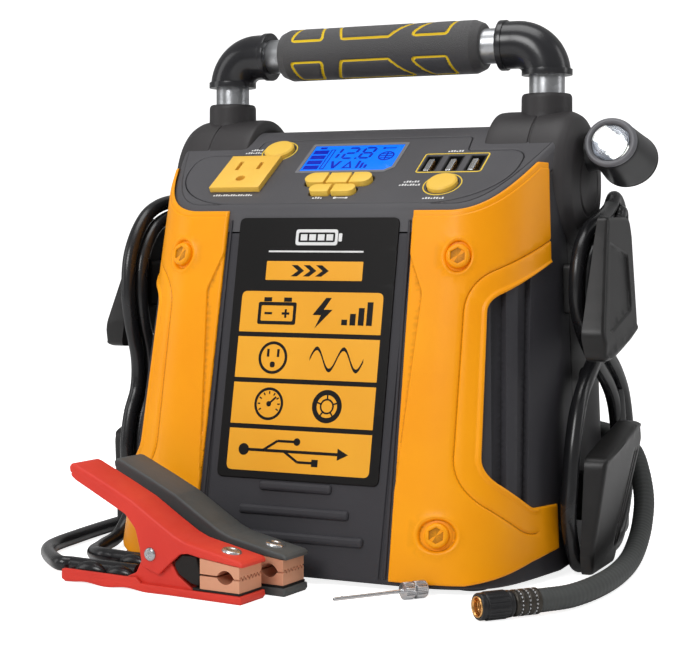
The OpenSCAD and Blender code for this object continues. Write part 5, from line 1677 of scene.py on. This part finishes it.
# ------------------------------------------------------------------ CAD pieces shown as they are
NODE_MAT = {"handle_elbows": "elbow_black", "handle_posts": "tube_steel",
            "handle_crossbar": "tube_steel"}
# edge rounding, mm
NODE_BEVEL = {"minus_button": 0.9, "air_button": 0.9, "plus_button": 0.9, "lamp_button": 0.9,
              "usb_button": 0.9, "ac_power_button": 0.7, "jump_start_button": 0.7,
              "ac_outlet": 0.9, "handle_elbows": 0.8, "handle_posts": 0.3,
              "handle_crossbar": 0.3}


def finish_nodes():
    for name, ob in frame["nodes"].items():
        mat = NODE_MAT.get(name, SLOT.get(name))
        ob.data.materials.clear()
        ob.data.materials.append(M[mat if mat in M else "black_plastic"])
        ob.modifiers.new("weld", "WELD").merge_threshold = 0.00002
        bv = ob.modifiers.new("bevel", "BEVEL")
        bv.width = NODE_BEVEL.get(name, 0.4) * MM
        bv.segments = 3
        bv.limit_method = "ANGLE"
        bv.angle_limit = math.radians(38)
        bv.use_clamp_overlap = True
        shade(ob, 32)


# ------------------------------------------------------------------ stage, metres
def camera_switch(tree, unseen, seen):
    """one value for camera rays and another for all others"""
    ray = add_node(tree, "LightPath").outputs["Is Camera Ray"]
    return map_range(tree, ray, To_Min=unseen, To_Max=seen)


def studio_world():
    world = bpy.data.worlds.new("studio")
    bpy.context.scene.world = world
    world.use_nodes = True
    tree = world.node_tree
    background = tree.nodes["Background"].inputs
    background["Color"].default_value = (1, 1, 1, 1)
    put(tree, background["Strength"], camera_switch(tree, unseen=0.34, seen=1.0))


def studio_floor():
    """floor that curves up into a wall behind"""
    curve_y, curve_r, half_width = 2.0, 1.2, 7
    profile = [(-4.0, 0.0)]
    for a in np.radians(range(0, 91, 6)):
        profile.append((curve_y + curve_r * math.sin(a), curve_r - curve_r * math.cos(a)))
    profile.append((3.2, 5.0))
    verts = [(x, y, z) for y, z in profile for x in (-half_width, half_width)]
    me = bpy.data.meshes.new("floor")
    me.from_pydata(verts, [], [(2 * i, 2 * i + 1, 2 * i + 3, 2 * i + 2)
                               for i in range(len(profile) - 1)])
    for p in me.polygons:
        p.use_smooth = True
    floor = bpy.data.objects.new("floor", me)
    bpy.context.scene.collection.objects.link(floor)
    mat = material("floor_pale", (0.9, 0.9, 0.9, 1), (0.88, 0.88, 0.88, 1), rough=0.6,
                   bump=0.02, wear=0, spec=0.3, glow=((1, 1, 1, 1), 0.4))
    me.materials.append(mat)
    tree = mat.node_tree
    put(tree, tree.nodes["Principled BSDF"].inputs["Emission Strength"],
        camera_switch(tree, unseen=0.0, seen=0.85))


def area_light(name, location, size, power, target=(0, -0.02, 0.14)):
    light = bpy.data.lights.new(name, "AREA")
    light.shape = "RECTANGLE"
    light.size, light.size_y = size
    light.energy = power
    light.color = (1, 1, 1)
    ob = bpy.data.objects.new(name, light)
    bpy.context.scene.collection.objects.link(ob)
    ob.location = location
    aim = Vector(target) - Vector(location)
    ob.rotation_euler = aim.to_track_quat("-Z", "Y").to_euler()


def studio_camera():
    data = bpy.data.cameras.new("camera")
    data.sensor_width = 36
    data.sensor_fit = "HORIZONTAL"
    data.lens = 87.99
    data.clip_start = 0.01
    camera = bpy.data.objects.new("camera", data)
    bpy.context.scene.collection.objects.link(camera)
    camera.location = (0.37131, -0.82184, 0.17541)
    look_down, turn = 3.31, 24.94                          # degrees
    camera.rotation_euler = (math.radians(90 - look_down), 0, math.radians(turn))
    bpy.context.scene.camera = camera


# ------------------------------------------------------------------ build
for build in (front_case, front_ribs, panel_beads, rear_case, case_lids, console_top,
              console_insert, side_covers, cover_bolts, label, display, console_prints,
              port_wells, shoulders, grip_obj, lamp, cleats, cables, hose, hose_crimp, chuck,
              needle):
    build()
battery_clamp("red", RED_SHIFT)
battery_clamp("black", BLACK_SHIFT)
finish_nodes()

studio_world()
studio_floor()
area_light("key", location=(-0.2, -1.5, 1.1), size=(0.7, 0.7), power=13.5)
area_light("fill_left", location=(-1.35, -0.7, 0.6), size=(0.6, 1.1), power=3.4)
area_light("top_soft", location=(0.0, -0.1, 1.5), size=(1.0, 0.8), power=8.5)
area_light("rim_right", location=(1.2, 0.45, 0.7), size=(0.3, 1.0), power=2.4)
studio_camera()
bpy.context.scene.view_settings.view_transform = "Standard"
